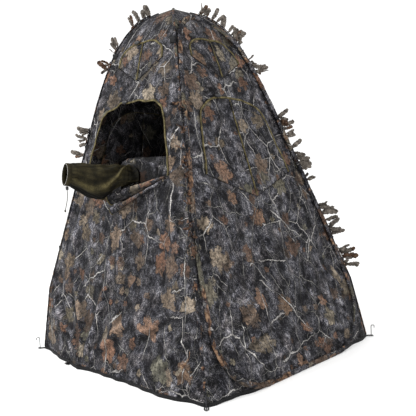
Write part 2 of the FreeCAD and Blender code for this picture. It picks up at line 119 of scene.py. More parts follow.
def depth_at(z):
    return np.interp(z, PROFILE_CURVE[:, 1], PROFILE_CURVE[:, 0])


def half_width(z):
    """Distance from a wall's middle line to its corner edge at height z."""
    z = np.asarray(z, float)
    hip = depth_at(HIP_Z)
    return np.where(z < HIP_Z, TIP + (hip - TIP) * z / HIP_Z, depth_at(z))


def unit(vectors):
    """A vector, or rows of them, at length 1."""
    return vectors / np.linalg.norm(vectors, axis=-1, keepdims=True)


def at(wall, u, depth, z):
    """A point from its wall coordinates, as an array with x, y, z along its last axis."""
    (nx, ny), (tx, ty) = WALLS[wall]
    u, depth, z = np.broadcast_arrays(np.asarray(u, float), depth, z)
    return np.stack([nx * depth + tx * u - LEAN * z, ny * depth + ty * u - LEAN * z, z], -1)


def outward(wall):
    """The wall's outward unit normal on its main slope."""
    (nx, ny), _ = WALLS[wall]
    return unit(np.array([nx, ny, SLOPE]))


def waves(x, y, seed, length, count=14):
    """Smooth random waves of about this length, mostly between -1 and 1."""
    rng = np.random.default_rng(seed)
    total = np.zeros(np.broadcast(x, y).shape)
    for _ in range(count):
        angle, phase = rng.uniform(0, 2 * math.pi, 2)
        pitch = 2 * math.pi / (length * rng.uniform(0.6, 1.6))
        total += np.sin(pitch * (x * math.cos(angle) + y * math.sin(angle)) + phase)
    return total / math.sqrt(count)


def ease(value):
    value = np.clip(value, 0, 1)
    return value * value * (3 - 2 * value)


def bell(value, width):
    """1 at value 0, falling smoothly to nearly 0 two widths away."""
    return np.exp(-(value / width) ** 2)


def circle(count):
    """Angles at equal steps round a full turn."""
    return np.linspace(0, 2 * math.pi, count, endpoint=False)


# Tension ridges of each wall: from (u, z) to (u, z), half width, height.
RIDGES = {
    "front": [(-0.54, 0.31, -0.16, 0.0, 0.016, 0.014), (-0.50, 0.36, -0.24, 0.02, 0.012, -0.010),
              (-0.43, 0.18, -0.27, 0.04, 0.010, 0.007), (0.32, 0.86, 0.42, 0.50, 0.020, 0.008),
              (-0.30, 0.86, -0.40, 0.52, 0.022, 0.008), (0.0, 0.74, 0.05, 0.30, 0.030, 0.007),
              (0.52, 0.26, 0.24, 0.02, 0.018, 0.010), (0.45, 0.34, 0.10, 0.10, 0.024, -0.006),
              (-0.17, 0.02, -0.02, 0.52, 0.020, 0.012), (-0.17, 0.02, 0.22, 0.34, 0.022, 0.009),
              (-0.17, 0.02, -0.34, 0.44, 0.018, 0.010)],
    "right": [(-0.47, 0.30, -0.24, 0.56, 0.014, 0.008), (-0.46, 0.24, -0.20, 0.44, 0.012, -0.008),
              (-0.43, 0.18, -0.16, 0.34, 0.013, 0.009), (-0.40, 0.13, -0.12, 0.22, 0.012, -0.007),
              (-0.36, 0.08, -0.08, 0.12, 0.014, 0.007), (0.50, 0.24, 0.26, 0.46, 0.018, 0.008),
              (0.46, 0.16, 0.20, 0.32, 0.016, -0.007), (0.40, 0.09, 0.12, 0.20, 0.016, 0.006),
              (0.0, 0.76, -0.03, 0.34, 0.030, 0.007), (0.30, 0.88, 0.40, 0.50, 0.022, 0.007),
              (-0.30, 0.88, -0.42, 0.54, 0.020, 0.008)],
}
RIDGES["left"] = [(-a, b, -c, d, w, h) for a, b, c, d, w, h in RIDGES["right"]]
RIDGES["back"] = [(-a, b, -c, d, w, h) for a, b, c, d, w, h in RIDGES["front"][3:8]]
HEM_LOOP_U, HEM_TAB_U = -0.173, -0.273
HEM_PULL = 0.030                 # how far the loop pulls the front hem out


def ridge(u, z, line):
    u0, z0, u1, z1, half, height = line
    length = math.hypot(u1 - u0, z1 - z0)
    along = ((u - u0) * (u1 - u0) + (z - z0) * (z1 - z0)) / length ** 2
    across = ((u - u0) * (z1 - z0) - (z - z0) * (u1 - u0)) / length
    inside_ends = ease(along / 0.25) * ease((1 - along) / 0.45)
    spread = half * (0.7 + 0.6 * np.clip(along, 0, 1))
    return height * bell(across, spread) * inside_ends


# The windows' hinge lines: height at the middle, rise for each metre aside, half width.
HINGES = ((0.770, 0.373, 0.30), (1.336, 0.570, 0.17))
DOOR_EDGE_U = 0.255
FLATNESS = 0.85


def straight_runs(wall, u, z):
    """Nearly 0 along the zips and hinge lines, which lie flat, and 1 away from them."""
    if wall == "back":
        edge = bell(np.abs(u) - DOOR_EDGE_U, 0.035)
        return 1 - FLATNESS * edge * ease((1.05 - z) / 0.1)
    flat = bell(u, 0.03) * ease((z - 0.74) / 0.03)
    for foot, rise, half in HINGES:
        hinge = bell(z - foot - rise * np.abs(u), 0.045)
        flat = np.maximum(flat, hinge * ease((half + 0.06 - np.abs(u)) / 0.06))
    return 1 - FLATNESS * flat


def relief(wall, u, z):
    """How far the cloth stands out of its smooth shape."""
    seed = 20 + 7 * list(WALLS).index(wall)
    from_edge = half_width(z) - np.abs(u)
    total = 1.7 * sum(ridge(u, z, line) for line in RIDGES[wall])
    total = total + 0.0060 * waves(u * 1.4, z * 0.8, seed, 0.42)
    total += 0.0022 * waves(u * 1.5, z * 0.7, seed + 1, 0.13)
    pucker = np.exp(-from_edge / 0.035) + 0.7 * np.exp(-z / 0.03)
    total += 0.0022 * pucker * waves(u * 0.3 + z, z, seed + 2, 0.035)
    total *= ease(from_edge / 0.03) * ease((1.72 - z) / 0.1) * straight_runs(wall, u, z)
    if wall == "front":
        near_loop = np.exp(-np.abs(u - HEM_LOOP_U) / 0.13) * np.exp(-z / 0.10)
        total += HEM_PULL * near_loop * ease(from_edge / 0.2)
    return total


def cloth_depth(wall, u, z):
    """The wall cloth's distance from the centre line, gussets and folds included."""
    z = np.asarray(z, float)
    u = np.asarray(u, float)
    main, edge = depth_at(z), half_width(z)
    corner = 1 - (TIP - np.abs(u)) / (TIP - GUSSET_START) - z * 0.833 / HIP_Z
    share = np.clip(corner / np.maximum(1 - z / HIP_Z, 1e-3), 0, 1)
    share = share ** 2 * 1.15 / (share + 0.15)
    return edge + (main - edge) * (1 - share) + relief(wall, u, z)


def on_cloth(wall, u, z, out=0.0):
    return at(wall, u, cloth_depth(wall, u, z) + out, z)


# ---- outlines ----------------------------------------------------------------------------
def rounded(points, radii=None, closed=False, steps=9):
    """The line through points with arcs at its corners. With no radius, an arc takes 45% of
    the shorter of its two runs."""
    pts = [np.array(p, float) for p in points]
    line = []
    for i, p in enumerate(pts):
        if not closed and i in (0, len(pts) - 1):
            line.append(p)
            continue
        a, b = pts[i - 1] - p, pts[(i + 1) % len(pts)] - p
        run = min(np.linalg.norm(a), np.linalg.norm(b))
        a, b = unit(a), unit(b)
        turn = math.pi - math.acos(max(-1.0, min(1.0, float(a @ b))))
        radius = None if radii is None else radii[i]
        reach = 0.45 * run if radius is None else radius * math.tan(turn / 2)
        if reach < 1e-5 or turn < 1e-3:
            line.append(p)
            continue
        centre = p + unit(a + b) * reach / math.sin(turn / 2)
        start, end = p + a * reach - centre, p + b * reach - centre
        for k in range(steps + 1):
            t = k / steps
            mixed = math.sin((1 - t) * turn) * start + math.sin(t * turn) * end
            line.append(centre + mixed / math.sin(turn))
    return np.array(line)


def divided(loop, spacing):
    """The same closed line with every run cut into equal steps no longer than spacing."""
    parts = []
    for a, b in zip(loop, np.roll(loop, -1, axis=0)):
        count = max(1, math.ceil(np.linalg.norm(b - a) / spacing))
        parts.append(a + (b - a) * (np.arange(count) / count)[:, None])
    return np.vstack(parts)


def even(points, spacing):
    """Points at equal steps along an open line."""
    steps = np.linalg.norm(np.diff(points, axis=0), axis=1)
    reach = np.concatenate([[0], np.cumsum(steps)])
    wanted = np.linspace(0, reach[-1], max(2, round(reach[-1] / spacing) + 1))
    return np.stack([np.interp(wanted, reach, points[:, k]) for k in range(points.shape[1])], -1)


def inset(loop, distance):
    """A closed outline moved inwards. The outline runs anticlockwise."""
    ahead = unit(np.roll(loop, -1, axis=0) - np.roll(loop, 1, axis=0))
    return loop + np.stack([-ahead[:, 1], ahead[:, 0]], -1) * distance


# Half outlines of the openings and the radius at each corner, as in the frame.
FRONT_WINDOW = [(0, 0.770), (0.296, 0.881), (0.276, 0.995), (0.232, 1.125), (0.204, 1.192),
                (0.158, 1.229), (0.100, 1.230), (0.040, 1.245), (-0.035, 1.239),
                (-0.100, 1.247), (-0.165, 1.222), (-0.212, 1.213), (-0.246, 1.180),
                (-0.278, 1.078), (-0.306, 0.960), (-0.300, 0.881)]
OPENINGS = {
    "lower": ([(0, 0.770), (0.295, 0.880), (0.215, 1.180), (0.110, 1.240)],
              (0, 0.010, 0.12, 0.20)),
    "upper": ([(0, 1.336), (0.165, 1.430), (0.150, 1.490), (0.080, 1.532)],
              (0, 0.008, 0.05, 0.12)),
    "door": ([(0.270, 0.110), (0.240, 0.950), (0.170, 1.110), (0.070, 1.160)],
             (0.02, 0.25, 0.12, 0.12)),
}


def opening(kind):
    """An opening's closed outline in (u, z), anticlockwise from the bottom."""
    if kind == "front lower":
        return rounded(FRONT_WINDOW, [0.0, 0.006] + [0.03] * 13 + [0.006], closed=True, steps=5)
    half, radii = OPENINGS[kind]
    mirrored = [(-u, z) for u, z in reversed(half) if u > 0]
    mirrored_radii = [r for (u, z), r in zip(reversed(half), reversed(radii)) if u > 0]
    return rounded(half + mirrored, list(radii) + mirrored_radii, closed=True)


def inside(points, loop):
    """Which points are inside a closed loop."""
    x, y = points[:, 0], points[:, 1]
    result = np.zeros(len(points), bool)
    for (x0, y0), (x1, y1) in zip(loop, np.roll(loop, -1, axis=0)):
        if y0 != y1:
            result ^= ((y0 > y) != (y1 > y)) & (x < x0 + (y - y0) * (x1 - x0) / (y1 - y0))
    return result


def fill(outline, holes, spacing):
    """Points and triangles that fill an outline and leave its holes open."""
    loops = [divided(np.asarray(loop, float), spacing) for loop in (outline, *holes)]
    rim = np.vstack(loops)
    low, high = loops[0].min(0), loops[0].max(0)
    row = spacing * 0.866
    rows = np.arange(low[1] + row / 2, high[1], row)
    grid = []
    for i, z in enumerate(rows):
        u = np.arange(low[0] + (spacing / 2 if i % 2 else 0), high[0], spacing)
        grid.append(np.column_stack([u, np.full(len(u), z)]))
    grid = np.vstack(grid)
    grid = grid[inside(grid, loops[0])]
    for hole in loops[1:]:
        grid = grid[~inside(grid, hole)]
    clear = [np.min(np.linalg.norm(part[:, None] - rim[None], axis=2), axis=1) > 0.6 * spacing
             for part in np.array_split(grid, max(1, len(grid) // 1500))]
    grid = grid[np.concatenate(clear)] if len(grid) else grid
    edges, start = [], 0
    for loop in loops:
        count = len(loop)
        edges += [(start + i, start + (i + 1) % count) for i in range(count)]
        start += count
    points = [Vector(p) for p in np.vstack([rim, grid])]
    verts, _, faces = geometry.delaunay_2d_cdt(points, edges, [], 0, 1e-7)[:3]
    verts = np.array(verts)
    faces = np.array(faces)
    middle = verts[faces].mean(1)
    keep = inside(middle, loops[0])
    for hole in loops[1:]:
        keep &= ~inside(middle, hole)
    return verts, faces[keep].tolist()


# ---- mesh objects ------------------------------------------------------------------------
def add_object(name, verts, faces, cloth):
    """A mesh object. cloth gives each point's place on the flat cloth, for its print; a third
    column, where given, carries painted shade and highlight.
    """
    mesh = bpy.data.meshes.new(name)
    mesh.from_pydata([tuple(v) for v in verts], [], [tuple(f) for f in faces])
    mesh.attributes.new("cloth", "FLOAT_VECTOR", "POINT")
    flat = np.zeros((len(verts), 3), np.float32)
    flat[:, :np.shape(cloth)[1]] = cloth
    mesh.attributes["cloth"].data.foreach_set("vector", flat.ravel())
    mesh.polygons.foreach_set("use_smooth", [True] * len(mesh.polygons))
    mesh.update()
    obj = bpy.data.objects.new(name, mesh)
    scene.collection.objects.link(obj)
    return obj


def thicken(verts, faces, thickness):
    """Closes a sheet: a second skin on its inner side and a rim between the two."""
    mesh = bpy.data.meshes.new("skin")
    mesh.from_pydata([tuple(v) for v in verts], [], faces)
    normals = np.array([v.normal for v in mesh.vertices])
    bpy.data.meshes.remove(mesh)
    count = len(verts)
    used = {}
    for face in faces:
        for a, b in zip(face, list(face[1:]) + [face[0]]):
            used[(a, b)] = True
    rim = [(b, a, a + count, b + count) for a, b in used if (b, a) not in used]
    inner = [[i + count for i in reversed(face)] for face in faces]
    return np.vstack([verts, verts - normals * thickness]), list(faces) + inner + rim


def sheet_object(name, verts, faces, cloth, thickness=CLOTH_THICK):
    verts, faces = thicken(verts, faces, thickness)
    return add_object(name, verts, faces, np.vstack([cloth, cloth]))


def grid_faces(rows, columns, rows_join=False, columns_join=False):
    """The quads of a grid of points, which may close on itself either way."""
    faces = []
    for i in range(rows if rows_join else rows - 1):
        a, b = i * columns, (i + 1) % rows * columns
        for k in range(columns if columns_join else columns - 1):
            n = (k + 1) % columns
            faces.append((a + k, a + n, b + n, b + k))
    return faces


def face_out(obj):
    """Turns a closed mesh's faces outwards."""
    work = bmesh.new()
    work.from_mesh(obj.data)
    bmesh.ops.recalc_face_normals(work, faces=work.faces)
    work.to_mesh(obj.data)
    work.free()
    return obj


def oval(width, height, count=12):
    angles = np.arange(count) * 2 * math.pi / count
    return np.column_stack([np.cos(angles) * width / 2, np.sin(angles) * height / 2])


def slab(width, height, bevel=0.0006):
    w, h = width / 2, height / 2
    return np.array([(w, h - bevel), (w - bevel, h), (0, h), (bevel - w, h), (-w, h - bevel),
                     (-w, bevel - h), (bevel - w, -h), (0, -h), (w - bevel, -h), (w, bevel - h)])


def sweep_parts(path, out, section, closed=False):
    """Verts, faces and flat cloth places of a section carried along a path. The section's
    points are (across, out), the same for every step or one set for each."""
    path = np.asarray(path, float)
    count = len(path)
    if closed:
        ahead = unit(np.roll(path, -1, axis=0) - np.roll(path, 1, axis=0))
    else:
        ahead = unit(np.gradient(path, axis=0))
    out = np.broadcast_to(np.asarray(out, float), path.shape)
    out = unit(out - ahead * np.sum(out * ahead, axis=1)[:, None])
    across = np.cross(out, ahead)
    section = np.broadcast_to(section, (count,) + np.shape(section)[-2:])
    size = section.shape[1]
    verts = (path[:, None] + across[:, None] * section[..., :1]
             + out[:, None] * section[..., 1:]).reshape(-1, 3)
    faces = grid_faces(count, size, closed, True)
    if not closed:
        faces += [tuple(range(size))[::-1], tuple(range((count - 1) * size, count * size))]
    steps = np.linalg.norm(np.diff(path, axis=0), axis=1)
    reach = np.concatenate([[0], np.cumsum(steps)])
    cloth = np.stack([np.repeat(reach, size), section[..., 0].ravel()], -1)
    return verts, faces, cloth


def joined(name, parts):
    """One object from several (verts, faces, cloth) parts."""
    verts, faces, cloth, start = [], [], [], 0
    for v, f, c in parts:
        verts.append(v)
        cloth.append(c[:, :2])
        faces += [tuple(i + start for i in face) for face in f]
        start += len(v)
    return face_out(add_object(name, np.vstack(verts), faces, np.vstack(cloth)))


def tube_parts(path, radius, count=10):
    """A round tube along a path, with no twist of its own."""
    path = np.asarray(path, float)
    ahead = unit(np.gradient(path, axis=0))
    out = np.cross(ahead[0], [0.31, 0.17, 0.93])
    outs = []
    for direction in ahead:
        out = unit(out - direction * (out @ direction))
        outs.append(out)
    return sweep_parts(path, np.array(outs), oval(2 * radius, 2 * radius, count))


def finish_piece(obj, body, material, slot_name, *nodes):
    """Gives a piece its material and body, and hides the CAD nodes that it stands for. slot_name is
    not used.
    """
    obj.data.materials.clear()
    obj.data.materials.append(material)
    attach(obj, body)
    if nodes:
        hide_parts(*nodes)
    return obj


def piece(name, parts, body, material, slot_name, *nodes):
    """A finished piece made of (verts, faces, cloth) parts."""
    return finish_piece(joined(name, parts), body, material, slot_name, *nodes)


# ---- materials ---------------------------------------------------------------------------
def rgb(code):
    """A linear colour from its sRGB hex code."""
    parts = [int(code[i:i + 2], 16) / 255 for i in (0, 2, 4)]
    return tuple(((p + 0.055) / 1.055) ** 2.4 if p > 0.04 else p / 12.92 for p in parts) + (1,)


class Shader:
    """Builds one material's nodes."""

    def __init__(self, name):
        self.material = bpy.data.materials.new(name)
        self.material.use_nodes = True
        self.tree = self.material.node_tree
        self.surface = self.tree.nodes["Principled BSDF"]

    def node(self, kind, inputs=(), **settings):
        node = self.tree.nodes.new("ShaderNode" + kind)
        for key, value in settings.items():
            setattr(node, key, value)
        for key, value in dict(inputs).items():
            self.feed(node.inputs[key], value)
        return node

    def feed(self, socket, value):
        if isinstance(value, bpy.types.NodeSocket):
            self.tree.links.new(value, socket)
        else:
            socket.default_value = value

    def math(self, operation, *values):
        return self.node("Math", enumerate(values), operation=operation).outputs[0]

    def times(self, a, b):
        return self.math("MULTIPLY", a, b)

    def scale(self, a, b):
        return self.vector("SCALE", a, b)

    def axes(self, vector):
        return self.node("SeparateXYZ", {"Vector": vector}).outputs

    def vector(self, operation, a, b):
        node = self.node("VectorMath", {0: a}, operation=operation)
        if operation == "SCALE":
            self.feed(node.inputs["Scale"], b)
        else:
            self.feed(node.inputs[1], b)
        return node.outputs[0]

    def noise(self, where, scale, detail=2.0, roughness=0.55, colour=False):
        node = self.node("TexNoise", {"Vector": where, "Scale": scale, "Detail": detail,
                                      "Roughness": roughness}, noise_dimensions="2D")
        return node.outputs["Color" if colour else "Fac"]

    def cells(self, where, scale, randomness=1.0, feature="F1"):
        return self.node("TexVoronoi", {"Vector": where, "Scale": scale,
                                        "Randomness": randomness},
                         voronoi_dimensions="2D", feature=feature).outputs

    def rotate(self, vector, angle):
        return self.node("VectorRotate", {"Vector": vector, "Angle": angle},
                         rotation_type="Z_AXIS").outputs[0]

    def random_parts(self, cell):
        """Three random numbers of a cell, from 0 to 1."""
        return self.node("SeparateColor", {"Color": cell["Color"]}).outputs

    def span(self, value, low, high, to_low=0.0, to_high=1.0):
        node = self.node("MapRange", {"Value": value, "From Min": low, "From Max": high,
                                      "To Min": to_low, "To Max": to_high}, clamp=True)
        return node.outputs[0]

    def ramp(self, value, stops):
        node = self.node("ValToRGB", {"Fac": value})
        elements = node.color_ramp.elements
        while len(elements) < len(stops):
            elements.new(0.5)
        for element, (place, code) in zip(elements, stops):
            element.position = place
            element.color = rgb(code)
        return node.outputs["Color"]

    def mix(self, share, a, b, mode="MIX"):
        node = self.node("Mix", data_type="RGBA", blend_type=mode)
        self.feed(node.inputs[0], share)
        self.feed(node.inputs[6], a)
        self.feed(node.inputs[7], b)
        return node.outputs[2]

    def cloth_place(self):
        return self.node("Attribute", attribute_name="cloth").outputs["Vector"]

    def painted_fold_shade(self, where, folds):
        """Painted shade and highlight from the third cloth coordinate: brightness 1 on flat cloth.
        """
        third = self.axes(where)[2]
        return self.math("MAXIMUM", self.math("MULTIPLY_ADD", third, folds, 1.0), 0.04)

    def bump(self, height, strength, distance, under=None):
        inputs = {"Height": height, "Strength": strength, "Distance": distance}
        if under is not None:
            inputs["Normal"] = under
        return self.node("Bump", inputs).outputs["Normal"]

    def finish(self, colour, roughness, normal=None, metallic=0.0, specular=0.3):
        self.feed(self.surface.inputs["Base Color"], colour)
        self.feed(self.surface.inputs["Roughness"], roughness)
        self.surface.inputs["Metallic"].default_value = metallic
        self.surface.inputs["Specular IOR Level"].default_value = specular
        if normal is not None:
            self.feed(self.surface.inputs["Normal"], normal)
        return self.material


LEAF_HUES = [(0.0, "5a4336"), (0.2, "3d332d"), (0.38, "654a3b"), (0.5, "45443a"), (0.64, "7c7163"),
             (0.78, "46362d"), (0.9, "55544a"), (1.0, "6c5142")]


def leaf_layer(s, where, below, cells, size, share, seed, stretch=1.0, lobes=2.5):
    """Fallen leaves over the print so far: one ragged leaf in some of a pattern's cells."""
    moved = s.vector("ADD", where, (seed, seed * 1.7, 0))
    cell = s.cells(moved, cells, 0.95)
    way, present, hue = s.random_parts(cell)
    offset = s.vector("SUBTRACT", moved, cell["Position"])
    wobble = s.vector("SUBTRACT", s.noise(where, 38, 2, 0.6, colour=True), (0.5, 0.5, 0))
    offset = s.vector("ADD", offset, s.scale(wobble, 0.5 * size))
    turned = s.rotate(offset, s.times(way, 6.283))
    turned = s.vector("MULTIPLY", turned, (1 / stretch, 1, 0))
    x, y, _ = s.axes(turned)
    angle = s.math("ARCTAN2", y, x)
    radius = s.node("VectorMath", {0: turned}, operation="LENGTH").outputs["Value"]
    wave = s.math("ABSOLUTE", s.math("COSINE", s.times(angle, lobes)))
    rough_edge = s.noise(where, 120, 3, 0.7)
    reach = s.math("MULTIPLY_ADD", wave, 0.38 * size, 0.5 * size)
    reach = s.times(reach, s.span(x, -size, size, 0.65, 1.15))
    reach = s.times(reach, s.math("ADD", rough_edge, 0.5))
    reach = s.times(reach, s.span(hue, 0, 1, 0.65, 1.1))
    reach = s.times(reach, s.math("LESS_THAN", present, share))
    depth = s.math("SUBTRACT", reach, radius)
    body = s.span(depth, 0, 0.0022)
    shade = s.span(depth, -0.012, 0.002, 0, 0.7)
    beside_vein = s.math("ABSOLUTE", s.math("SINE", s.times(angle, lobes)))
    vein_gap = s.times(beside_vein, radius)
    vein = s.span(vein_gap, 0.0008, 0.0040, 0.35, 1.0)
    mottle = s.noise(where, 70, 4, 0.75)
    tone = s.times(vein, s.span(mottle, 0.32, 0.68, 0.20, 1.5))
    leaf = s.scale(s.ramp(hue, LEAF_HUES), tone)
    return s.mix(body, s.mix(shade, below, rgb("070707")), leaf)


def branch_layer(s, where, below, cells, width, gate, seed, code):
    """Bare branches over the print so far: thin forked lines, broken up by a slow noise."""
    moved = s.vector("ADD", s.vector("MULTIPLY", where, (1.0, 0.7, 0)), (seed, seed * 2.3, 0))
    wander = s.noise(moved, 17, 3, 0.6, colour=True)
    moved = s.vector("ADD", moved, s.scale(wander, 0.030))
    edge = s.cells(moved, cells, feature="DISTANCE_TO_EDGE")["Distance"]
    open_parts = s.span(s.noise(moved, 3.1, 1, 0.5), gate, gate + 0.05)
    half = s.times(s.span(s.noise(moved, 8, 1), 0.35, 0.65, 0.25, 1.0),
                  width * cells / 2)
    half = s.times(half, open_parts)
    line = s.span(s.math("SUBTRACT", half, edge), 0, 0.0009 * cells)
    dark = s.span(s.math("SUBTRACT", half, edge), -0.005 * cells, 0, 0, 0.7)
    dark = s.times(dark, open_parts)
    bark = s.scale(rgb(code)[:3], s.span(s.noise(where, 200, 3), 0.3, 0.7, 0.3, 1.4))
    return s.mix(line, s.mix(dark, below, rgb("070708")), bark)


def woodland(s, where, bright=1.0):
    """A generic woodland print: bark and grass, fallen leaves, bare branches."""
    wander = s.noise(where, 6, 3, 0.55, colour=True)
    warped = s.vector("ADD", where, s.scale(wander, 0.06))
    way, paler, _ = s.random_parts(s.cells(warped, 8.0))
    grain = s.rotate(warped, s.span(way, 0, 1, -0.7, 0.9))
    streaks = s.noise(s.vector("MULTIPLY", grain, (4.0, 1.0, 1)), 20, 5, 0.75)
    fibres = s.noise(s.vector("MULTIPLY", grain, (3.0, 1.0, 1)), 120, 3, 0.75)
    tone = s.math("MULTIPLY_ADD", streaks, 0.40, s.times(fibres, 0.60))
    clumps = s.span(s.noise(where, 12, 4, 0.7), 0.36, 0.64, -0.07, 0.06)
    tone = s.math("ADD", s.math("ADD", tone, clumps), s.span(paler, 0, 1, -0.02, 0.03))
    base = s.ramp(s.span(tone, 0.395, 0.665), [(0.0, "060608"), (0.28, "151519"), (0.46, "29292e"),
                                             (0.64, "3e3e44"), (0.82, "605f65"), (1.0, "8f8d90")])
    brown = s.span(s.noise(where, 13, 3, 0.6), 0.50, 0.62, 0, 0.28)
    base = s.mix(brown, base, s.mix(1.0, base, rgb("c8a583"), "MULTIPLY"))
    base = branch_layer(s, where, base, 12.0, 0.0032, 0.43, 3.1, "7a7875")
    base = leaf_layer(s, where, base, 19.0, 0.024, 0.15, 1.3)
    base = leaf_layer(s, where, base, 11.5, 0.044, 0.30, 5.9, 1.3, 2.5)
    base = branch_layer(s, where, base, 6.5, 0.0052, 0.47, 11.3, "8e8b89")
    base = leaf_layer(s, where, base, 7.6, 0.066, 0.42, 9.4)
    base = branch_layer(s, where, base, 3.4, 0.0062, 0.48, 7.7, "8b8987")
    specks = s.span(s.noise(where, 330, 2, 0.6), 0.60, 0.72, 0, 0.45)
    specks = s.times(specks, s.span(s.noise(where, 24, 3), 0.42, 0.60))
    base = s.mix(specks, base, rgb("b9b6b4"))
    # Painted shade in the hollows and painted highlight on the ridges, from the third cloth
    # coordinate.
    base = s.scale(base, s.painted_fold_shade(where, 1.0))
    return s.scale(base, bright), tone


def weave(s, where, pitch=0.0011):
    """Height of a plain weave."""
    x, y, _ = s.axes(s.scale(where, 2 * math.pi / pitch))
    product = s.times(s.math("SINE", x), s.math("SINE", y))
    return s.math("MULTIPLY_ADD", product, 0.5, 0.5)


def printed_cloth(name, bright=1.0, warm=None):
    s = Shader(name)
    where = s.cloth_place()
    colour, tone = woodland(s, where, bright)
    if warm:
        mask = s.span(s.noise(where, 17, 3, 0.6), 0.56, 0.62, 0, 0.8)
        tan = s.ramp(s.span(s.noise(where, 60, 3, 0.7), 0.35, 0.65),
                     [(0.0, "1c120d"), (0.5, warm), (1.0, "8d735c")])
        colour = s.mix(mask, colour, tan)
    roughness = s.span(tone, 0.35, 0.7, 0.80, 0.69)
    normal = s.bump(weave(s, where), 0.25, 0.0003)
    crumple = s.noise(where, 22, 4, 0.55)
    normal = s.bump(crumple, 0.5, 0.010, normal)
    return s.finish(colour, roughness, normal, specular=0.12)


def plain_cloth(name, dark, middle, light, roughness=0.8, pitch=0.0011, blotch=18, folds=0.0):
    """Plain cloth. folds darkens or lightens it with painted shade and highlight where its third
    cloth coordinate says.
    """
    s = Shader(name)
    where = s.cloth_place()
    tone = s.math("MULTIPLY_ADD", s.noise(where, blotch, 4, 0.65), 0.6,
                  s.times(s.noise(where, 320, 2, 0.6), 0.4))
    colour = s.ramp(s.span(tone, 0.35, 0.65), [(0.0, dark), (0.5, middle), (1.0, light)])
    height = weave(s, where, pitch)
    # Darker in the weave's dips and lighter on its crossings: painted shade and highlight of the
    # weave.
    colour = s.scale(colour, s.span(height, 0, 1, 0.82, 1.1))
    # Painted shade and highlight from the third cloth coordinate.
    if folds:
        colour = s.scale(colour, s.painted_fold_shade(where, folds))
    normal = s.bump(height, 0.4, 0.0004)
    normal = s.bump(s.noise(where, 45, 3, 0.5), 0.4, 0.004, normal)
    return s.finish(colour, s.span(tone, 0.3, 0.7, roughness, roughness - 0.1), normal,
                    specular=0.12)


RIB_PITCH = 0.0016


def webbing(name):
    """Black woven tape: ribs across it and paler worn patches."""
    s = Shader(name)
    where = s.cloth_place()
    ribs = s.math("SINE", s.times(s.axes(where)[0], 2 * math.pi / RIB_PITCH))
    wear = s.span(s.noise(where, 160, 3, 0.7), 0.45, 0.75)
    # Paler where worn; the ribs also lighten the colour on their crests, a painted highlight with
    # painted shade in the grooves between.
    colour = s.ramp(s.math("MULTIPLY_ADD", wear, 0.5, s.span(ribs, -1, 1, 0, 0.3)),
                    [(0.0, "060607"), (0.5, "151517"), (1.0, "36363a")])
    normal = s.bump(ribs, 0.5, 0.0004)
    return s.finish(colour, s.span(wear, 0, 1, 0.75, 0.6), normal, specular=0.2)


def metal(name, dark, light, roughness, metallic=1.0, scale=40):
    s = Shader(name)
    where = s.node("TexCoord").outputs["Object"]
    worn = s.node("TexNoise", {"Vector": where, "Scale": scale, "Detail": 5.0,
                               "Roughness": 0.65}).outputs["Fac"]
    fine = s.node("TexNoise", {"Vector": where, "Scale": 700.0, "Detail": 2.0}).outputs["Fac"]
    colour = s.ramp(s.span(worn, 0.35, 0.65), [(0.0, dark), (1.0, light)])
    normal = s.bump(fine, 0.15, 0.0003)
    return s.finish(colour, s.span(worn, 0.35, 0.65, roughness + 0.1, roughness - 0.08), normal,
                    metallic=metallic, specular=0.5)


camo = printed_cloth("camo_cloth")
# A darker copy of the camo print for the lens panel set back in the open window: painted shade.
camo_shaded = printed_cloth("camo_inner_panel_painted_shade", bright=0.48)
sleeve_cloth = printed_cloth("sleeve_cloth", bright=0.9, warm="5d4534")
leaf_tape = printed_cloth("leaf_tape", bright=0.85, warm="563a2a")
khaki = plain_cloth("piping_tape", "2b2719", "4f4830", "746a49", pitch=0.0016, blotch=30)
olive = plain_cloth("olive_cloth", "100f08", "242012", "37321f", folds=1.0)
pale_elastic = plain_cloth("pale_elastic", "55534f", "84827e", "a9a7a3", pitch=0.0018)
leaf_cloth = plain_cloth("leaf_cloth", "26231f", "5b554f", "8f877e", blotch=60, roughness=0.85)
leaf_cloth_rust = plain_cloth("leaf_cloth_rust", "1d1511", "4b382d", "7e6654", blotch=60,
                              roughness=0.85)
black_webbing = webbing("black_webbing")
cord_cloth = plain_cloth("cord", "1c1a14", "3d3a2f", "6a6555", pitch=0.0009)
black_plastic = metal("black_plastic", "0a0a0b", "1c1c1e", 0.42, metallic=0.0, scale=90)
slider_metal = metal("zip_slider", "17171a", "3a3a3e", 0.38, scale=120)
spring_steel = metal("spring_steel", "3a3c40", "6c6f74", 0.34)
ferrule_steel = metal("ferrule_steel", "5b5d60", "9fa1a3", 0.30)
peg_steel = metal("peg_steel", "141416", "37373a", 0.45, metallic=0.85)

# The steel pieces are the CAD's own.
PEGS = ("front_right", "back_right", "back_left", "front_left", "front_hem")
for stem, ends, material in (("hoop", ("ferrules",), ferrule_steel),
                             ("hoop", WALLS, spring_steel), ("peg", PEGS, peg_steel)):
    for word in ends:
        cad_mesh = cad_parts[f"{stem}_{word}"].data
        cad_mesh.materials.clear()
        cad_mesh.materials.append(material)

# ---- drawcord of the lens sleeve ---------------------------------------------------------
LENS_U, LENS_Z = 0.030, 0.866
LENS_PIVOT = at("front", LENS_U, BASE - SLOPE * LENS_Z, LENS_Z)
LENS_AXIS = unit(np.array([-0.28, -0.96, 0.127]))
LENS_END, LENS_MOUTH_R = 0.290, 0.048
CORD_LENGTH, CORD_DIAMETER, KNOT_SIZE = 0.108, 0.0032, 0.00155
CORD_TOP = LENS_PIVOT + LENS_AXIS * (LENS_END + 0.006) + np.array([0, 0, -LENS_MOUTH_R - 0.0034])
CORD_STEPS = [(0, 0, 0), (0, 0, -0.026), (-0.0015, 0, -0.054), (-0.008, -0.002, -0.082),
              (-0.016, -0.005, -0.106)]


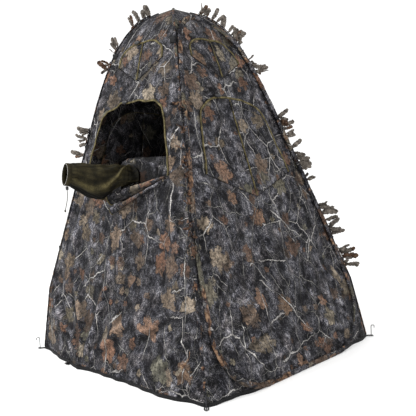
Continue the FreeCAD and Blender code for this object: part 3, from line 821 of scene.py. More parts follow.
def make_drawcord():
    points = [CORD_TOP + np.array(step) for step in CORD_STEPS]
    curve = bpy.data.curves.new("drawcord_tail", "CURVE")
    curve.dimensions = "3D"
    curve.bevel_depth = CORD_DIAMETER / 2
    curve.bevel_resolution = 3
    curve.resolution_u = 24
    curve.use_fill_caps = True
    spline = curve.splines.new("NURBS")
    spline.points.add(len(points) - 1)
    for point, place in zip(spline.points, points):
        point.co = (*place, 1)
    spline.order_u = 3
    spline.use_endpoint_u = True
    tail = bpy.data.objects.new("drawcord_tail", curve)
    scene.collection.objects.link(tail)
    curve.materials.append(cord_cloth)
    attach(tail, "lens_sleeve")
    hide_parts("drawcord")

    end = points[-1]
    loop = [end + KNOT_SIZE * np.array([math.sin(a) + 2 * math.sin(2 * a), -math.sin(3 * a),
                                        math.cos(a) - 2 * math.cos(2 * a) - 1.6])
            for a in circle(60)]
    knot = piece("drawcord_knot", [tube_parts(loop, CORD_DIAMETER / 2)], "lens_sleeve",
                 cord_cloth, "cord", "cord_knot")

    top = CORD_TOP + np.array([0, 0, -0.001])
    outline = [(0.0030, 0.0), (0.0058, 0.0004), (0.0066, 0.002), (0.0062, 0.0045), (0.0066, 0.007),
               (0.0062, 0.0095), (0.0066, 0.012), (0.0058, 0.0152), (0.0030, 0.016)]
    lock = turned("drawcord_lock", outline, top)
    finish_piece(lock, "cord_lock", black_plastic, "black_plastic", "cord_lock")


TURNED_SIDES = 24


def turned(name, outline, top):
    """A hollow turned piece: an outline of (radius, drop) carried round a vertical line."""
    verts = []
    for angle in 2 * math.pi * np.arange(TURNED_SIDES) / TURNED_SIDES:
        for radius, drop in outline:
            verts.append(top + np.array([radius * math.cos(angle), radius * math.sin(angle),
                                         -drop]))
    verts = np.array(verts)
    faces = grid_faces(TURNED_SIDES, len(outline), True, True)
    return face_out(add_object(name, verts, faces, verts[:, [0, 2]]))


make_drawcord()

# ---- walls -------------------------------------------------------------------------------
WALL_SPACING = 0.013
HOLES = {"front": ("front lower", "upper"), "right": ("lower", "upper"), "left": ("lower", "upper"),
         "back": ("door",)}


def print_place(wall, uz):
    """Where a piece of wall cloth lies in the print: each wall has its own stretch of it."""
    index = list(WALLS).index(wall)
    return np.asarray(uz, float) + [1.37 * index, 0.61 * index]


def wall_outline():
    levels = np.concatenate([[0.004, 0.16, HIP_Z], np.arange(0.4, CROWN_Z, 0.04), [CROWN_Z]])
    right = np.stack([half_width(levels), levels], -1)
    return np.vstack([right, right[::-1] * [-1, 1]])


def fold_shade(wall, u, z):
    """Painted shade and highlight along the folds: paler on ridges, darker in hollows."""
    step = 0.012
    here = relief(wall, u, z)
    round_about = (relief(wall, u + step, z) + relief(wall, u - step, z)
                   + relief(wall, u, z + step) + relief(wall, u, z - step)) / 4
    return np.clip((here - round_about) / 0.0011, -0.45, 0.55)


def make_walls():
    for wall, kinds in HOLES.items():
        points, faces = fill(wall_outline(), [opening(kind) for kind in kinds], WALL_SPACING)
        verts = on_cloth(wall, points[:, 0], points[:, 1])
        shade = fold_shade(wall, points[:, 0], points[:, 1])
        cloth = np.column_stack([print_place(wall, points), shade])
        obj = sheet_object(f"{wall}_wall_cloth", verts, faces, cloth)
        finish_piece(obj, MAIN_BODY, camo, "camo_cloth", f"wall_{wall}")


def make_crown():
    start = np.searchsorted(PROFILE_CURVE[:, 1], CROWN_Z - 0.004)
    curve = even(PROFILE_CURVE[start:], 0.008)
    across = 12
    verts, cloth = [], []
    for depth, z in curve[:-1]:
        for wall in WALLS:
            for t in np.linspace(-1, 1, across + 1)[:-1]:
                verts.append(at(wall, t * depth, depth + 0.0006, z))
                cloth.append(print_place(wall, (t * depth, z)))
    ring, apex = 4 * across, len(verts)
    verts.append(at("front", 0, 0, curve[-1][1]))
    cloth.append(print_place("front", (0, curve[-1][1])))
    faces = grid_faces(apex // ring, ring, columns_join=True)
    faces += [(apex - ring + k, apex - ring + (k + 1) % ring, apex) for k in range(ring)]
    obj = sheet_object("crown_cloth", np.array(verts), faces, np.array(cloth))
    finish_piece(obj, MAIN_BODY, camo, "camo_cloth", "crown_cap")


make_walls()
make_crown()

# ---- hoop sleeves ------------------------------------------------------------------------
HOOP_Z, HOOP_EDGE, HOOP_CORNER_R, HOOP_CORNER_IN = 0.012, 0.014, 0.250, 0.022
HOOP_OUT = {"front": -0.013, "back": -0.013, "right": 0.009, "left": 0.009}
SLEEVE_WIDE, SLEEVE_THICK = 0.025, 0.0125
FRAME_KNOTS = [(0.0, BASE), (1.320, 0.2968), (1.550, 0.216), (1.660, 0.135), (1.716, 0.032)]


def frame_depth(z):
    """The flat-sided frame's distance from the centre line, which the hoops follow."""
    return np.interp(z, [k[0] for k in FRAME_KNOTS], [k[1] for k in FRAME_KNOTS])


def frame_half_width(z):
    hip = frame_depth(HIP_Z)
    return TIP + (hip - TIP) * z / HIP_Z if z < HIP_Z else frame_depth(z)


def hoop_path(wall):
    """The hoop's closed line. Each corner is (u, z, how many times the usual stand-off)."""
    edge = HOOP_EDGE
    low_corner_u = frame_half_width(HOOP_Z + 0.150) - edge - HOOP_CORNER_IN
    half = [(0.001, HOOP_Z, 1.0), (low_corner_u, HOOP_Z, 1.0),
            (frame_half_width(0.490) - edge, 0.490, 1.0),
            (frame_half_width(1.320) - edge, 1.320, 1.15),
            (frame_half_width(1.550) - edge - 0.006, 1.550, 1.6),
            (0.135 - 0.042, 1.630, 1.9), (0.020, 1.656, 1.9)]
    loop = half + [(-u, z, stand) for u, z, stand in reversed(half)]
    points = [at(wall, u, frame_depth(z) + HOOP_OUT[wall] * stand, z) for u, z, stand in loop]
    radii = [None] * len(points)
    radii[1] = radii[-2] = HOOP_CORNER_R
    line = rounded(points, radii, steps=16)
    return even(np.vstack([line, line[:1]]), 0.0045)[:-1]


def make_hoop_sleeves():
    base = oval(SLEEVE_WIDE, SLEEVE_THICK, 14)
    for index, wall in enumerate(WALLS):
        path = hoop_path(wall)
        turns = circle(len(path))
        x, y = 0.75 * np.cos(turns), 0.75 * np.sin(turns)
        wide = 1 + 0.07 * waves(x, y, 60 + index, 0.06)
        thick = 1 + 0.10 * waves(x, y, 70 + index, 0.030)
        gather = 0.0011 * waves(x, y, 80 + index, 0.020)
        section = base[None] * np.stack([wide, thick], -1)[:, None]
        rim = np.abs(base[:, 0]) / base[:, 0].max()
        section[..., 1] += gather[:, None] * rim[None] * np.sign(base[:, 1])[None]
        section[..., 1] += math.copysign(0.0005, HOOP_OUT[wall])
        verts, faces, cloth = sweep_parts(path, outward(wall) * [1, 1, 0], section, closed=True)
        cloth = cloth * [0.6, 1] + [3.3 * index, 0.4 * index]
        piece(f"{wall}_hoop_sleeve", [(verts, faces, cloth)], MAIN_BODY, sleeve_cloth,
              "sleeve_cloth", f"hoop_sleeve_{wall}")


make_hoop_sleeves()

# ---- corner seams, hem and tabs ----------------------------------------------------------
CORNERS = {"front": "front_right", "right": "back_right", "back": "back_left",
           "left": "front_left"}


SEAM_STEP, SEAM_TOP = 0.006, 1.712
TAB_HEIGHTS, TAB_WIDE, TAB_THICK, TAB_REACH = (0.515, 1.030, 1.490), 0.027, 0.004, 0.030


def diagonal(wall):
    """Straight out from the corner at a wall's right-hand end."""
    (nx, ny), (tx, ty) = WALLS[wall]
    return np.array([nx + tx, ny + ty, 0]) / math.sqrt(2)


def corner_line(wall, low, high, out, spacing):
    """The corner edge at a wall's right-hand end, between two heights."""
    z = np.concatenate([np.linspace(low, 1.5, 60), PROFILE_CURVE[PROFILE_CURVE[:, 1] > 1.5][:, 1]])
    depth = np.where(z > 1.5, np.interp(z, PROFILE_CURVE[:, 1], PROFILE_CURVE[:, 0]), half_width(z))
    line = at(wall, depth + out, depth + out, z)
    line[:, 2] += out * np.clip((z - 1.5) / 0.2, 0, 1)
    keep = (z >= low) & (z <= high)
    return even(line[keep], spacing)


def make_corner_seams():
    parts = []
    for index, wall in enumerate(WALLS):
        path = corner_line(wall, HEM_TOP, SEAM_TOP, 0.0015, SEAM_STEP)
        reach = np.arange(len(path)) * SEAM_STEP
        swell = 1 + 0.12 * waves(reach, 0, 90 + index, 0.03)
        section = oval(0.012, 0.0062, 12)[None] * swell[:, None, None]
        verts, faces, cloth = sweep_parts(path, diagonal(wall) + np.array([0, 0, 0.3]), section)
        parts.append((verts, faces, cloth + [2.1 * index, 0.3]))
    piece("corner_seam_tapes", parts, MAIN_BODY, leaf_tape, "camo_cloth", "corner_seams")


def make_hem():
    tip = TIP - 0.002
    u = np.concatenate([np.linspace(-tip, -0.36, 14), np.linspace(-0.34, 0.34, 50),
                        np.linspace(0.36, tip, 14)])
    path = np.vstack([on_cloth(wall, u, 0.004, 0.0005) for wall in WALLS])
    path[:, 2] = HEM_TOP / 2 + 0.0003
    out = np.vstack([np.tile(outward(wall) * [1, 1, 0], (len(u), 1)) for wall in WALLS])
    strip = sweep_parts(path, out, slab(HEM_TOP, 0.0042, 0.0012), closed=True)
    piece("hem_webbing", [strip], MAIN_BODY, black_webbing, "black_webbing", "hem_binding")


def make_tabs():
    """Webbing tabs wrapped round the corner seams."""
    parts = []
    for wall in WALLS:
        for low in TAB_HEIGHTS:
            z = low + 0.0125
            near = float(half_width(z))
            points = [(near - TAB_REACH, near + 0.0028), (near - 0.006, near + 0.0034),
                      (near + 0.0055, near + 0.0055), (near + 0.0034, near - 0.006),
                      (near + 0.0028, near - TAB_REACH)]
            path = even(rounded([at(wall, a, b, z) for a, b in points], steps=5), 0.0025)
            out = path - (at(wall, near, near, z) - diagonal(wall) * 0.06)
            parts.append(sweep_parts(path, out * [1, 1, 0], slab(TAB_WIDE, TAB_THICK)))
    piece("corner_webbing_tabs", parts, MAIN_BODY, black_webbing, "black_webbing", "corner_tabs")


make_corner_seams()
make_hem()
make_tabs()

# ---- pegs' loops -------------------------------------------------------------------------
LOOP_REACH, LOOP_SLOT, LOOP_STRAP = 0.038, 0.009, 0.0055


def make_peg_loops():
    places = [(at(wall, TIP, TIP, 0), diagonal(wall)) for wall in WALLS]
    front_out = np.array([0.0, -1.0, 0.0])
    places.append((at("front", HEM_LOOP_U, BASE, 0), front_out))
    parts = []
    half = LOOP_SLOT / 2 + LOOP_STRAP / 2
    for start, out in places:
        across = np.array([-out[1], out[0], 0])
        tip = LOOP_REACH - LOOP_STRAP / 2
        plan = [(-0.004, -half * 0.6), (0.012, -half), (tip, -half), (tip, half), (0.012, half),
                (-0.004, half * 0.6)]
        path = rounded([start + out * a + across * b for a, b in plan],
                       [0, 0.01, half * 0.98, half * 0.98, 0.01, 0], steps=6)
        path = even(path, 0.002)
        path[:, 2] = 0.0045
        parts.append(sweep_parts(path, (0, 0, 1), slab(LOOP_STRAP, 0.0024)))
    tab = at("front", HEM_TAB_U, BASE, 0)
    line = [tab + front_out * a + np.array([0, 0, h])
            for a, h in ((-0.004, 0.0075), (0.034, 0.0070), (0.0345, 0.0042), (-0.004, 0.0040))]
    path = even(rounded(line, [0, 0.001, 0.001, 0], steps=5), 0.002)
    parts.append(sweep_parts(path, np.cross(unit(np.gradient(path, axis=0)),
                                            np.array([1.0, 0, 0])), slab(0.024, 0.0018)))
    piece("peg_loop_webbing", parts, MAIN_BODY, black_webbing, "black_webbing", "peg_loops")


make_peg_loops()

# ---- windows -----------------------------------------------------------------------------
FLAP_OUT = 0.0016
CENTRE_GAP = 0.0015
SEWN_WALLS = ("front", "right", "left")


def halves(loop, side):
    """One half of an opening's outline, on that side of its centre line."""
    part = loop[loop[:, 0] * side > CENTRE_GAP * 1.2]
    part = part if side > 0 else part[::-1]
    top, foot = loop[:, 1].max(), loop[:, 1].min()
    ends = np.array([[side * CENTRE_GAP, top], [side * CENTRE_GAP, foot]])
    whole = np.vstack([part, ends])
    return whole if side > 0 else whole[::-1]


def piping_line(kind):
    """The sewn edge of an opening in (u, z): up one side, over the top and down the other."""
    loop = opening(kind)
    if kind == "door":
        line = np.vstack([loop, loop[:1]])
    else:
        leg = loop[np.argmax(loop[:, 0])]
        low = leg[1] - 0.004
        line = loop[loop[:, 1] > low]
    return even(line, 0.005)


def cloth_strip(wall, line, section, out, wobble, seed):
    """A strip lying on the wall along a line in (u, z)."""
    reach = np.concatenate([[0], np.cumsum(np.linalg.norm(np.diff(line, axis=0), axis=1))])
    sway = wobble * waves(reach, 0, seed, 0.07)
    lift = 0.5 * wobble * (1 + waves(reach, 0, seed + 1, 0.05))
    ahead = unit(np.gradient(line, axis=0))
    moved = line + np.stack([-ahead[:, 1], ahead[:, 0]], -1) * sway[:, None]
    path = on_cloth(wall, moved[:, 0], moved[:, 1], out) + outward(wall) * lift[:, None]
    return sweep_parts(path, outward(wall), section)


def make_piping():
    for wall, seed, name, node in (
            ("front", 100, "front_window_piping", "window_piping_front"),
            ("right", 110, "right_window_piping", "window_piping_right"),
            ("left", 120, "left_window_piping", "window_piping_left"),
            ("back", 140, "door_edge_piping", "door_piping")):
        parts = [cloth_strip(wall, piping_line(kind), oval(0.0095, 0.0056, 10), 0.0022, 0.0012,
                             seed + k) for k, kind in enumerate(HOLES[wall])]
        piece(name, parts, MAIN_BODY, khaki, "piping_tape", node)


def flap_cloth(body, wall, outline, name=None):
    points, faces = fill(outline, (), 0.012)
    verts = on_cloth(wall, points[:, 0], points[:, 1], FLAP_OUT)
    obj = sheet_object(name or f"{body}_cloth", verts, faces,
                       print_place(wall, points) + [0.31, 0.17], 0.001)
    finish_piece(obj, body, camo, "flap_cloth", body)


def zip_tape(stem, wall, kind):
    """The zip down a window's middle: a khaki tape with its coil, on the left half flap."""
    loop = opening(kind)
    top, foot = loop[:, 1].max() - 0.006, loop[:, 1].min() + 0.010
    line = np.array([[0.0, top], [0.0, foot]])
    tape = cloth_strip(wall, even(line, 0.004), slab(0.0085, 0.0022), 0.0040, 0.0007, 150)
    coil = cloth_strip(wall, even(line, 0.0011), oval(0.0030, 0.0020, 6), 0.0056, 0.0007, 150)
    piece(f"{stem}_zip", [tape, coil], f"{stem}_left", khaki, "piping_tape")


# Every window is zipped shut but the large one of the front wall.
CLOSED_WINDOWS = [(wall, kind, wall if kind == "lower" else f"{wall}_upper")
                  for wall in SEWN_WALLS for kind in ("lower", "upper")
                  if (wall, kind) != ("front", "lower")]
FLAP_INSET = 0.003


def make_flaps():
    for wall, kind, stem in CLOSED_WINDOWS:
        loop = inset(opening(kind), FLAP_INSET)
        for side, word in ((-1, "left"), (1, "right")):
            flap_cloth(f"{stem}_flap_{word}", wall, halves(loop, side))
        zip_tape(f"{stem}_flap", wall, kind)
    flap_cloth("door_panel", "back", inset(opening("door"), FLAP_INSET), "door_cloth")


SLIDER_DROP = 0.026


def slider_parts(wall, u, z):
    """A zip slider: shell, bridge, link ring and a cord pull hanging below."""
    out = outward(wall)
    right = np.array([*WALLS[wall][1], 0.0])
    up = np.cross(out, right)
    centre = on_cloth(wall, u, z) + out * 0.0045
    shell_path = np.array([centre + up * s for s in np.linspace(-0.008, 0.008, 9)])
    wide = np.interp(np.linspace(0, 1, 9), [0, 0.3, 1], [0.62, 0.8, 1.0])
    section = slab(0.0095, 0.0044, 0.001)[None] * np.stack([wide, np.ones(9)], -1)[:, None]
    bridge = rounded([centre + up * a + out * b for a, b in
                      ((-0.006, 0.001), (-0.004, 0.0045), (0.005, 0.0045), (0.006, 0.001))],
                     [0, 0.002, 0.002, 0], steps=4)
    link_top = centre + up * -0.002 + out * 0.0042
    ring = np.array([link_top + right * 0.0030 * math.sin(a) - up * (0.006 - 0.006 * math.cos(a))
                     for a in np.linspace(0, 2 * math.pi, 21)])
    pull_top = link_top - up * 0.011
    pull = np.array([pull_top - up * s + right * 0.0025 * math.sin(s * 60) + out * 0.001
                     for s in np.linspace(0, 0.028, 12)])
    bridge = sweep_parts(even(bridge, 0.0012), right, slab(0.0016, 0.0026, 0.0004))
    return [sweep_parts(shell_path, out, section), bridge, tube_parts(ring, 0.0008, 8),
            tube_parts(pull, 0.0021, 8)]


def make_sliders():
    (u0, z0), (u1, z1) = OPENINGS["door"][0][:2]
    low = z0 + 0.060
    edge = u0 + (u1 - u0) * (low - z0) / (z1 - z0)
    places = [(stem, wall, -0.006, OPENINGS[kind][0][-1][1] - SLIDER_DROP)
              for wall, kind, stem in CLOSED_WINDOWS]
    for stem, wall, u, z in places + [("door", "back", edge - 0.010, low)]:
        piece(f"{stem}_zip_pull", slider_parts(wall, u, z), f"{stem}_slider", slider_metal,
              "zip_slider", f"{stem}_slider")


TOGGLE_U = {("front", "lower"): -0.060, ("front", "upper"): -0.034, ("right", "lower"): -0.091,
            ("right", "upper"): -0.118, ("left", "lower"): 0.091, ("left", "upper"): 0.118}


def make_toggles():
    """Tie loops with a small black toggle, sewn over the arch of each window."""
    parts = []
    for wall in SEWN_WALLS:
        out = outward(wall)
        right = np.array([*WALLS[wall][1], 0.0])
        for kind in ("lower", "upper"):
            top = OPENINGS[kind][0][-1][1]
            centre = on_cloth(wall, TOGGLE_U[wall, kind], top + 0.002) + out * 0.011
            bar = np.array([centre + right * s for s in np.linspace(-0.019, 0.019, 9)])
            wide = 1 - 0.45 * np.abs(np.linspace(-1, 1, 9)) ** 3
            parts.append(sweep_parts(bar, out, oval(0.016, 0.015, 12)[None]
                                     * wide[:, None, None]))
            loop = np.array([centre + out * (-0.004 + 0.008 * math.cos(a))
                             + np.array([0, 0, 1]) * 0.013 * math.sin(a)
                             for a in np.linspace(0, 2 * math.pi, 25)])
            parts.append(tube_parts(loop, 0.0020, 8))
    piece("window_toggles", parts, MAIN_BODY, black_plastic, "black_plastic")


make_piping()
make_flaps()
make_sliders()
make_toggles()

# ---- rolled flaps of the open window -----------------------------------------------------
ROLL_TURNS = {"left": 9.5, "right": 5.0}
ROLLED_WIDTH, ROLLED_LENGTH = 0.31, 0.42


def roll_grid(ends, radii, way, turns, seed):
    """A sheet rolled up along a line: points in rows along the line, and columns round it."""
    start, end = ends
    axis = end - start
    out = outward("front")
    side = np.cross(unit(axis), out)
    along = np.linspace(0, 1, 60)
    round_count = int(26 * turns)
    angle = np.linspace(0, 2 * math.pi * turns, round_count)
    grow = 0.22 + 0.78 * angle / angle[-1]
    radius = (radii[0] + (radii[1] - radii[0]) * along ** 0.85)[:, None] * grow[None]
    a, s = np.meshgrid(angle, along)
    radius = radius * (1 + 0.06 * waves(s * 3, a * 0.35, seed, 1.0))
    turn = way * (a + 0.5 * s + 0.3)
    centre = start + axis * along[:, None]
    centre = centre + out * 0.003 * waves(along, 0, seed + 1, 0.3)[:, None]
    lean = out * 0.94 + np.array([0, 0, -0.34])
    tall = np.array([0, 0, 0.94]) + out * 0.34
    return (centre[:, None] + lean * (radius * np.cos(turn))[..., None] * 0.66
            + tall * (radius * np.sin(turn))[..., None] * np.sign(side[2]))


ROLL_ENDS = {"left": ((-0.136, 0.800, 0.030), (-0.287, 0.868, 0.014), (0.022, 0.009)),
             "right": ((-0.036, 0.782, 0.052), (0.292, 0.874, 0.013), (0.031, 0.0075))}
UNDER_FOLD = ((-0.050, 0.727, 0.030), (0.286, 0.861, 0.014))


def wall_point(u, z, out):
    """A point off the front wall's main plane."""
    return at("front", u, BASE - SLOPE * z + out, z)


def make_rolled_flaps():
    for side, word in ((-1, "left"), (1, "right")):
        body = f"front_rolled_flap_{word}"
        first, last, radii = ROLL_ENDS[word]
        thick, thin = wall_point(*first), wall_point(*last)
        grid = roll_grid((thick, thin), radii, side, ROLL_TURNS[word], 160 + side)
        rows, columns = grid.shape[:2]
        flat = np.stack(np.meshgrid(np.linspace(0, ROLLED_LENGTH, columns),
                                    np.linspace(0, ROLLED_WIDTH, rows)), -1)
        cloth = print_place("front", flat.reshape(-1, 2)) + [0.9, 0.2]
        # Painted light on each roll: a painted highlight along its top and painted shade on its
        # lower side.
        middle = thick + (thin - thick) * np.linspace(0, 1, rows)[:, None]
        rise = (grid - middle[:, None])[..., 2]
        rise = rise / np.abs(rise).max(axis=1)[:, None]
        shade = 0.9 * ease((rise - 0.55) / 0.4) - 0.62 * ease((0.35 - rise) / 0.7)
        cloth = np.column_stack([cloth, shade.ravel()])
        obj = sheet_object(f"{body}_cloth", grid.reshape(-1, 3), grid_faces(rows, columns), cloth,
                           0.0009)
        finish_piece(obj, body, camo, "flap_cloth", body)
        edge = even(grid[1, -30:], 0.003)
        piece(f"{body}_edge", [sweep_parts(edge, thick - thin, oval(0.008, 0.006, 8))], body,
              khaki, "piping_tape")


FOLD_ROWS, FOLD_SIDES = 60, 20


def make_slipped_fold():
    """The lower turn of the right-hand flap, which has slipped out of the roll."""
    start, end = (wall_point(*place) for place in UNDER_FOLD)
    t = np.linspace(0, 1, FOLD_ROWS)
    path = start + (end - start) * t[:, None]
    path = path + outward("front") * (0.003 * waves(t, 0, 166, 0.25))[:, None]
    size = np.stack([0.034 - 0.024 * t ** 0.7, 0.016 - 0.007 * t], -1)
    section = oval(1, 1, FOLD_SIDES)[None] * size[:, None]
    verts, faces, cloth = sweep_parts(path, outward("front") + np.array([0, 0, -0.5]), section)
    # Painted highlight on the fold's upper side and painted shade under it.
    lift = np.cos(np.arange(FOLD_SIDES) * 2 * math.pi / FOLD_SIDES - 0.3)
    shade = np.tile(ease((lift - 0.3) / 0.5) - 0.6 * ease((0.1 - lift) / 0.6), FOLD_ROWS)
    cloth = np.column_stack([cloth + [4.4, 2.1], shade])
    fold = face_out(add_object("front_rolled_flap_right_fold", verts, faces, cloth))
    finish_piece(fold, "front_rolled_flap_right", camo, "flap_cloth")
    rim = sweep_parts(verts[:FOLD_SIDES], start - end, oval(0.005, 0.004, 8), closed=True)
    piece("front_rolled_flap_right_fold_edge", [rim], "front_rolled_flap_right", khaki,
          "piping_tape")


make_rolled_flaps()
make_slipped_fold()

# ---- lens panel and sleeve ---------------------------------------------------------------
PANEL_OUT = -0.003
PANEL_OUTLINE = [(0.0, 0.758), (0.298, 0.868), (0.290, 0.968), (0.12, 0.972), (0.0, 0.974),
                 (-0.045, 0.966), (-0.085, 0.942), (-0.15, 0.925), (-0.225, 0.918), (-0.298, 0.866)]
LENS_HOLE = 0.070
PANEL_FOLDS = [(-0.08, 0.955, 0.02, 0.964, 0.006, 0.010), (-0.03, 0.962, 0.16, 0.952, 0.006, 0.012),
               (0.06, 0.966, 0.36, 0.890, 0.006, 0.012), (-0.06, 0.950, 0.10, 0.890, 0.010, 0.010)]


def make_lens_panel():
    outline = rounded(PANEL_OUTLINE, [0.01, 0.01, 0.02, 0.1, 0.04, 0.02, 0.03, 0.1, 0.05, 0.02],
                      closed=True, steps=5)
    turns = circle(40)
    hole = np.column_stack([LENS_U + LENS_HOLE * np.cos(turns),
                            LENS_Z + 0.92 * LENS_HOLE * np.sin(turns)])
    points, faces = fill(outline, [hole], 0.009)
    u, z = points[:, 0], points[:, 1]
    fold = sum(ridge(u, z, line) for line in PANEL_FOLDS)
    # Painted light on the panel: painted highlights along its folds, painted shade below the upper
    # fold line and along its bottom edge.
    shade = np.clip(fold / 0.010, 0, 1) * 1.9
    shade -= 0.55 * ease((0.950 - 0.28 * np.clip(u - 0.05, 0, 1) - z) / 0.012)
    shade -= 0.40 * ease((0.03 - (z - 0.868 + 0.37 * (0.298 - np.abs(u)))) / 0.03)
    fold += 0.004 * waves(u, z, 170, 0.09)
    past_hole = (np.hypot(u - LENS_U, z - LENS_Z) - LENS_HOLE) / 0.03
    fold = fold * ease(past_hole) - 0.006
    verts = on_cloth("front", u, z, PANEL_OUT) + outward("front") * fold[:, None]
    verts += outward("front") * (0.005 * ease(1 - past_hole))[:, None]
    cloth = np.column_stack([print_place("front", points) + [0.5, 0.9], shade])
    obj = sheet_object("lens_panel_cloth", verts, faces, cloth)
    finish_piece(obj, MAIN_BODY, camo_shaded, "flap_cloth", "lens_panel")


def lens_frames(t):
    """Centre line, sideways and upward directions of the sleeve at each t, from 0 at the
    panel to 1 at the mouth."""
    base_up = np.array([0, 0.25, 0.968])
    across = unit(np.cross(LENS_AXIS, [0, 0, 1.0]))
    upright = np.cross(across, LENS_AXIS)
    turn = ease(t / 0.22)[:, None]
    side = unit((1 - turn) * np.array([1.0, 0, 0]) * -1 + turn * across)
    up = unit((1 - turn) * base_up + turn * upright)
    centre = LENS_PIVOT + LENS_AXIS * (LENS_END * t)[:, None]
    centre = centre + np.array([0, 0, -1.0]) * (0.012 * np.sin(math.pi * t) ** 2)[:, None]
    return centre, side, up


# The fold on the sleeve's right-hand side: how far round from the top it lies (in radians
# towards +X) at each share of the sleeve's length.
CREASE = [(0.00, -0.30), (0.10, 0.10), (0.20, 0.68), (0.30, 1.28), (0.45, 1.82), (0.65, 2.12),
          (0.85, 2.15), (1.00, 2.00)]
SLEEVE_RADII = [(0.0, 0.067), (0.10, 0.070), (0.30, 0.071), (0.55, 0.068), (0.80, 0.058),
                (1.0, LENS_MOUTH_R)]
SLEEVE_ROWS, SLEEVE_COLUMNS = 120, 120
PUCKERS = 22                     # gathers round the mouth


def make_lens_sleeve():
    rows, columns = SLEEVE_ROWS, SLEEVE_COLUMNS
    t = np.linspace(0, 1, rows)
    centre, side, up = lens_frames(t)
    a, s = np.meshgrid(circle(columns), t)
    # Right of the top, a runs down from 2 pi. Above the fold the cloth is drawn in; the fold
    # itself is a ledge that faces up; below it the cloth turns under.
    from_top = 2 * math.pi - a
    below = from_top - np.interp(s, *zip(*CREASE))
    strong = ease(s / 0.05) * ease((1.03 - s) / 0.22)
    shape = strong * (0.0090 * bell(below - 0.08, 0.13) - 0.0110 * bell(below + 0.30, 0.26))
    # shade is painted light on the olive cloth: a painted highlight along the fold's ledge; painted
    # shade under the fold, round the cut-in corner and on the side near the panel; painted
    # highlights on the upright folds and the gathers; and slow random patches of it.
    shade = strong * (1.9 * bell(below + 0.03, 0.11) + 0.3 * bell(below - 0.12, 0.2)
                      - 0.35 * bell(below + 0.36, 0.26))
    under = ease((below - 0.20) / 0.30) * ease((3.4 - below) / 0.6) * ease((s - 0.22) / 0.15)
    shade -= 0.80 * under
    corner = ease((0.24 - s) / 0.24) * bell(from_top - 0.75, 0.55)
    shape -= 0.020 * corner
    shade -= 0.35 * corner
    on_side = ease((below - 0.15) / 0.2)
    for place, wide, tall in ((0.07, 0.018, 0.8), (0.125, 0.020, 0.9), (0.185, 0.022, 0.6)):
        upright = bell(s - place - 0.03 * below, wide) * on_side
        shape += 0.0035 * tall * upright
        shade += 0.35 * tall * upright - 0.2 * on_side * ease((0.3 - s) / 0.2)
    shape += 0.0030 * waves(np.cos(a) * 0.4 + s * 0.6, np.sin(a) * 0.4, 180, 0.22)
    shape += 0.0022 * waves(np.cos(a) * 0.5, np.sin(a) * 0.5 + s * 0.35, 181, 0.10)
    gathers = ease((s - 0.80) / 0.15) * np.sin(a * PUCKERS + 1.5 * np.sin(a * 3))
    shape += 0.0018 * gathers
    shade += 0.22 * gathers + 0.18 * waves(np.cos(a) * 0.5, np.sin(a) * 0.5 + s * 0.5, 183, 0.14)
    shape *= ease(s / 0.03) * (0.12 + 0.88 * ease((1.0 - s) / 0.12))
    reach = np.interp(t, *zip(*SLEEVE_RADII))[:, None] + shape
    low = ease((-np.cos(a) + 0.1) / 1.1)
    sag = 0.018 * low * ease((s - 0.30) / 0.25) * ease((1.0 - s) / 0.35)
    lifted = 0.042 * low * ease((0.44 - s) / 0.30)
    verts = (centre[:, None] + up[:, None] * (reach * np.cos(a))[..., None]
             + side[:, None] * (reach * np.sin(a))[..., None])
    verts[..., 2] += lifted - sag
    faces = grid_faces(rows, columns, columns_join=True)
    cloth = np.stack([a * 0.065, s * 0.32, shade], -1).reshape(-1, 3)
    obj = sheet_object("lens_sleeve_cloth", verts.reshape(-1, 3), faces, cloth)
    obj.data.materials.append(olive)
    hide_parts("lens_sleeve")
    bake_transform(obj)

    def spokes(turns):
        return up[-1] * np.cos(turns)[:, None] + side[-1] * np.sin(turns)[:, None]

    turns = circle(120)
    swell = LENS_MOUTH_R + 0.0008 * np.sin(turns * PUCKERS + 1.5 * np.sin(turns * 3))
    spoke = spokes(turns)
    ring = centre[-1] + LENS_AXIS * 0.004 + spoke * (swell - 0.0006)[:, None]
    hem = sweep_parts(ring, spoke, slab(0.0190, 0.0052, 0.002), closed=True)
    hem = piece("lens_mouth_rim", [hem], "lens_sleeve", olive, "olive_cloth", "lens_mouth_hem")
    # The elastic shows only in the near half of the mouth.
    spoke = spokes(np.linspace(math.pi * 1.02, math.pi * 1.96, 60))
    lining = centre[-1] + LENS_AXIS * 0.0122 + spoke * (LENS_MOUTH_R - 0.0020)
    elastic = piece("lens_mouth_elastic", [sweep_parts(lining, spoke, slab(0.004, 0.003, 0.0004))],
                    "lens_sleeve", pale_elastic, "olive_cloth")


make_lens_panel()
make_lens_sleeve()

# ---- leaf garnish ------------------------------------------------------------------------
GARNISH_RUNS = {
    "front": [(0.560, 0.700), (0.760, 1.010), (1.060, 1.200)],
    "right": [(0.380, 0.500), (0.545, 0.720), (0.840, 1.010), (1.060, 1.190), (1.380, 1.470),
              (1.530, 1.700)],
    "back": [(0.420, 0.505), (0.560, 0.760), (0.900, 1.015), (1.070, 1.250), (1.530, 1.690)],
    "left": [(1.000, 1.024), (1.066, 1.150), (1.440, 1.480), (1.520, 1.560), (1.640, 1.700)],
}


GARNISH_STEP, LEAF_SPACING, LEAF_ROWS = 0.004, 0.010, 19


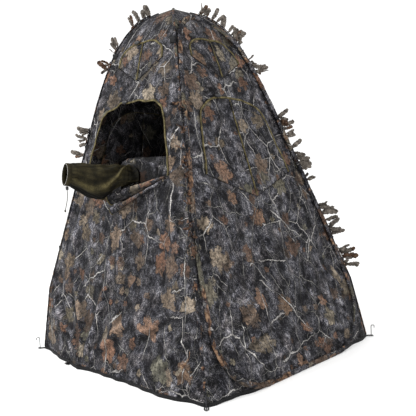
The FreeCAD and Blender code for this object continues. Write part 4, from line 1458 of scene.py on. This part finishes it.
def leaf_parts(root, ahead, sideways, length, width, lobes, curl, rng):
    """A lobed cloth leaf with a folded midrib, as a thin closed mesh."""
    t = np.linspace(0, 1, LEAF_ROWS)
    body = np.sqrt(np.clip(t / 0.3, 0.02, 1)) * np.sqrt(np.clip((1 - t) / 0.12, 0.05, 1))
    saw = (t * lobes + rng.uniform(0, 1)) % 1.0
    half = width / 2 * body * (0.55 + 0.45 * np.sqrt(saw)) + 0.0008
    other = width / 2 * body * (0.55 + 0.45 * np.sqrt((saw + 0.35) % 1.0)) + 0.0008
    normal = np.cross(ahead, sideways)
    ripple = 0.10 * width * np.sin(t * rng.uniform(5, 9))
    middle = root + ahead * (t * length)[:, None] + normal * (curl * t ** 2 + ripple)[:, None]
    left = middle - sideways * half[:, None] + normal * (0.35 * half)[:, None]
    right = middle + sideways * other[:, None] + normal * (0.35 * other)[:, None]
    verts = np.stack([left, middle, right], 1).reshape(-1, 3)
    flat = np.column_stack([np.stack([-half, half * 0, other], 1).ravel(),
                            np.repeat(t * length, 3)]) + rng.uniform(0, 5, 2)
    verts, faces = thicken(verts, grid_faces(LEAF_ROWS, 3), 0.0007)
    return verts, faces, np.vstack([flat, flat])


def make_garnish():
    for index, (wall, runs) in enumerate(GARNISH_RUNS.items()):
        rng = np.random.default_rng(300 + index)
        out = diagonal(wall)
        across = np.array([-out[1], out[0], 0])
        grey, rust, bands = [], [], []
        for low, high in runs:
            path = corner_line(wall, low, high, 0.006, GARNISH_STEP)
            reach = np.arange(len(path)) * GARNISH_STEP
            scallop = 1 + 0.3 * waves(reach, 0, 320 + index, 0.02)
            section = oval(0.014, 0.0045, 8)[None] * scallop[:, None, None]
            bands.append(sweep_parts(path, out + np.array([0, 0, 0.3]), section))
            tall = len(path) * GARNISH_STEP
            for _ in range(max(3, round(tall / LEAF_SPACING))):
                root = path[min(len(path) - 1, int(rng.uniform(0, len(path))))]
                high_up = root[2] > 1.5
                swing = math.radians(rng.uniform(-65, 65))
                lift = math.radians(rng.uniform(25, 85) if high_up else rng.uniform(-25, 40))
                level = out * math.cos(swing) + across * math.sin(swing)
                ahead = unit(level * math.cos(lift) + np.array([0, 0, math.sin(lift)]))
                facing_way = across * 1.3 + rng.normal(size=3) * 0.5
                sideways = unit(np.cross(ahead, facing_way))
                length = rng.uniform(0.042, 0.070)
                if wall == "front":
                    length *= 0.62
                elif root[2] < 0.75:
                    length *= 1.3
                parts = leaf_parts(root, ahead, sideways, length, length * rng.uniform(0.26, 0.40),
                                   rng.choice([3.0, 4.0, 5.0]), rng.uniform(-0.012, 0.014), rng)
                (rust if rng.uniform() < 0.12 else grey).append(parts)
        corner = CORNERS[wall]
        facing = leaf_tape if wall == "front" else leaf_cloth
        for name, parts, material, *nodes in (
                ("leaves", grey, facing, f"garnish_{corner}"),
                ("tape", bands, leaf_tape),
                ("brown_leaves", rust, leaf_cloth_rust)):
            piece(f"garnish_{name}_{corner}", parts, MAIN_BODY, material, "leaf_cloth", *nodes)


make_garnish()

# ---- floor and light ---------------------------------------------------------------------
FLOOR_HALF = 14.0


def make_stage():
    s = Shader("floor")
    place = s.node("TexCoord").outputs["Object"]
    colour = s.ramp(s.noise(place, 1.5, 2), [(0.0, "fbfbfa"), (1.0, "ffffff")])
    s.finish(colour, 0.8, specular=0.1)
    corners = [(x * FLOOR_HALF, y * FLOOR_HALF, -0.0005)
               for x, y in ((-1, -1), (1, -1), (1, 1), (-1, 1))]
    floor = add_object("floor", corners, [(0, 1, 2, 3)], np.zeros((4, 2)))
    floor.data.materials.append(s.material)


def add_light(name, place, aim, size, power):
    data = bpy.data.lights.new(name, "AREA")
    data.shape = "DISK"
    data.size = size
    data.energy = power
    light = bpy.data.objects.new(name, data)
    light.location = place
    light.rotation_euler = (Vector(aim) - Vector(place)).to_track_quat("-Z", "Y").to_euler()
    scene.collection.objects.link(light)


def make_light():
    world = bpy.data.worlds.new("studio")
    world.use_nodes = True
    background = world.node_tree.nodes["Background"]
    background.inputs["Color"].default_value = (1, 1, 1, 1)
    background.inputs["Strength"].default_value = 1.15
    scene.world = world
    scene.view_settings.view_transform = "Standard"
    add_light("key", (-1.6, -4.2, 3.6), (0, 0, 0.8), 2.6, 220)
    add_light("fill", (4.2, -0.6, 2.8), (0, 0, 0.8), 3.0, 70)


make_stage()
make_light()
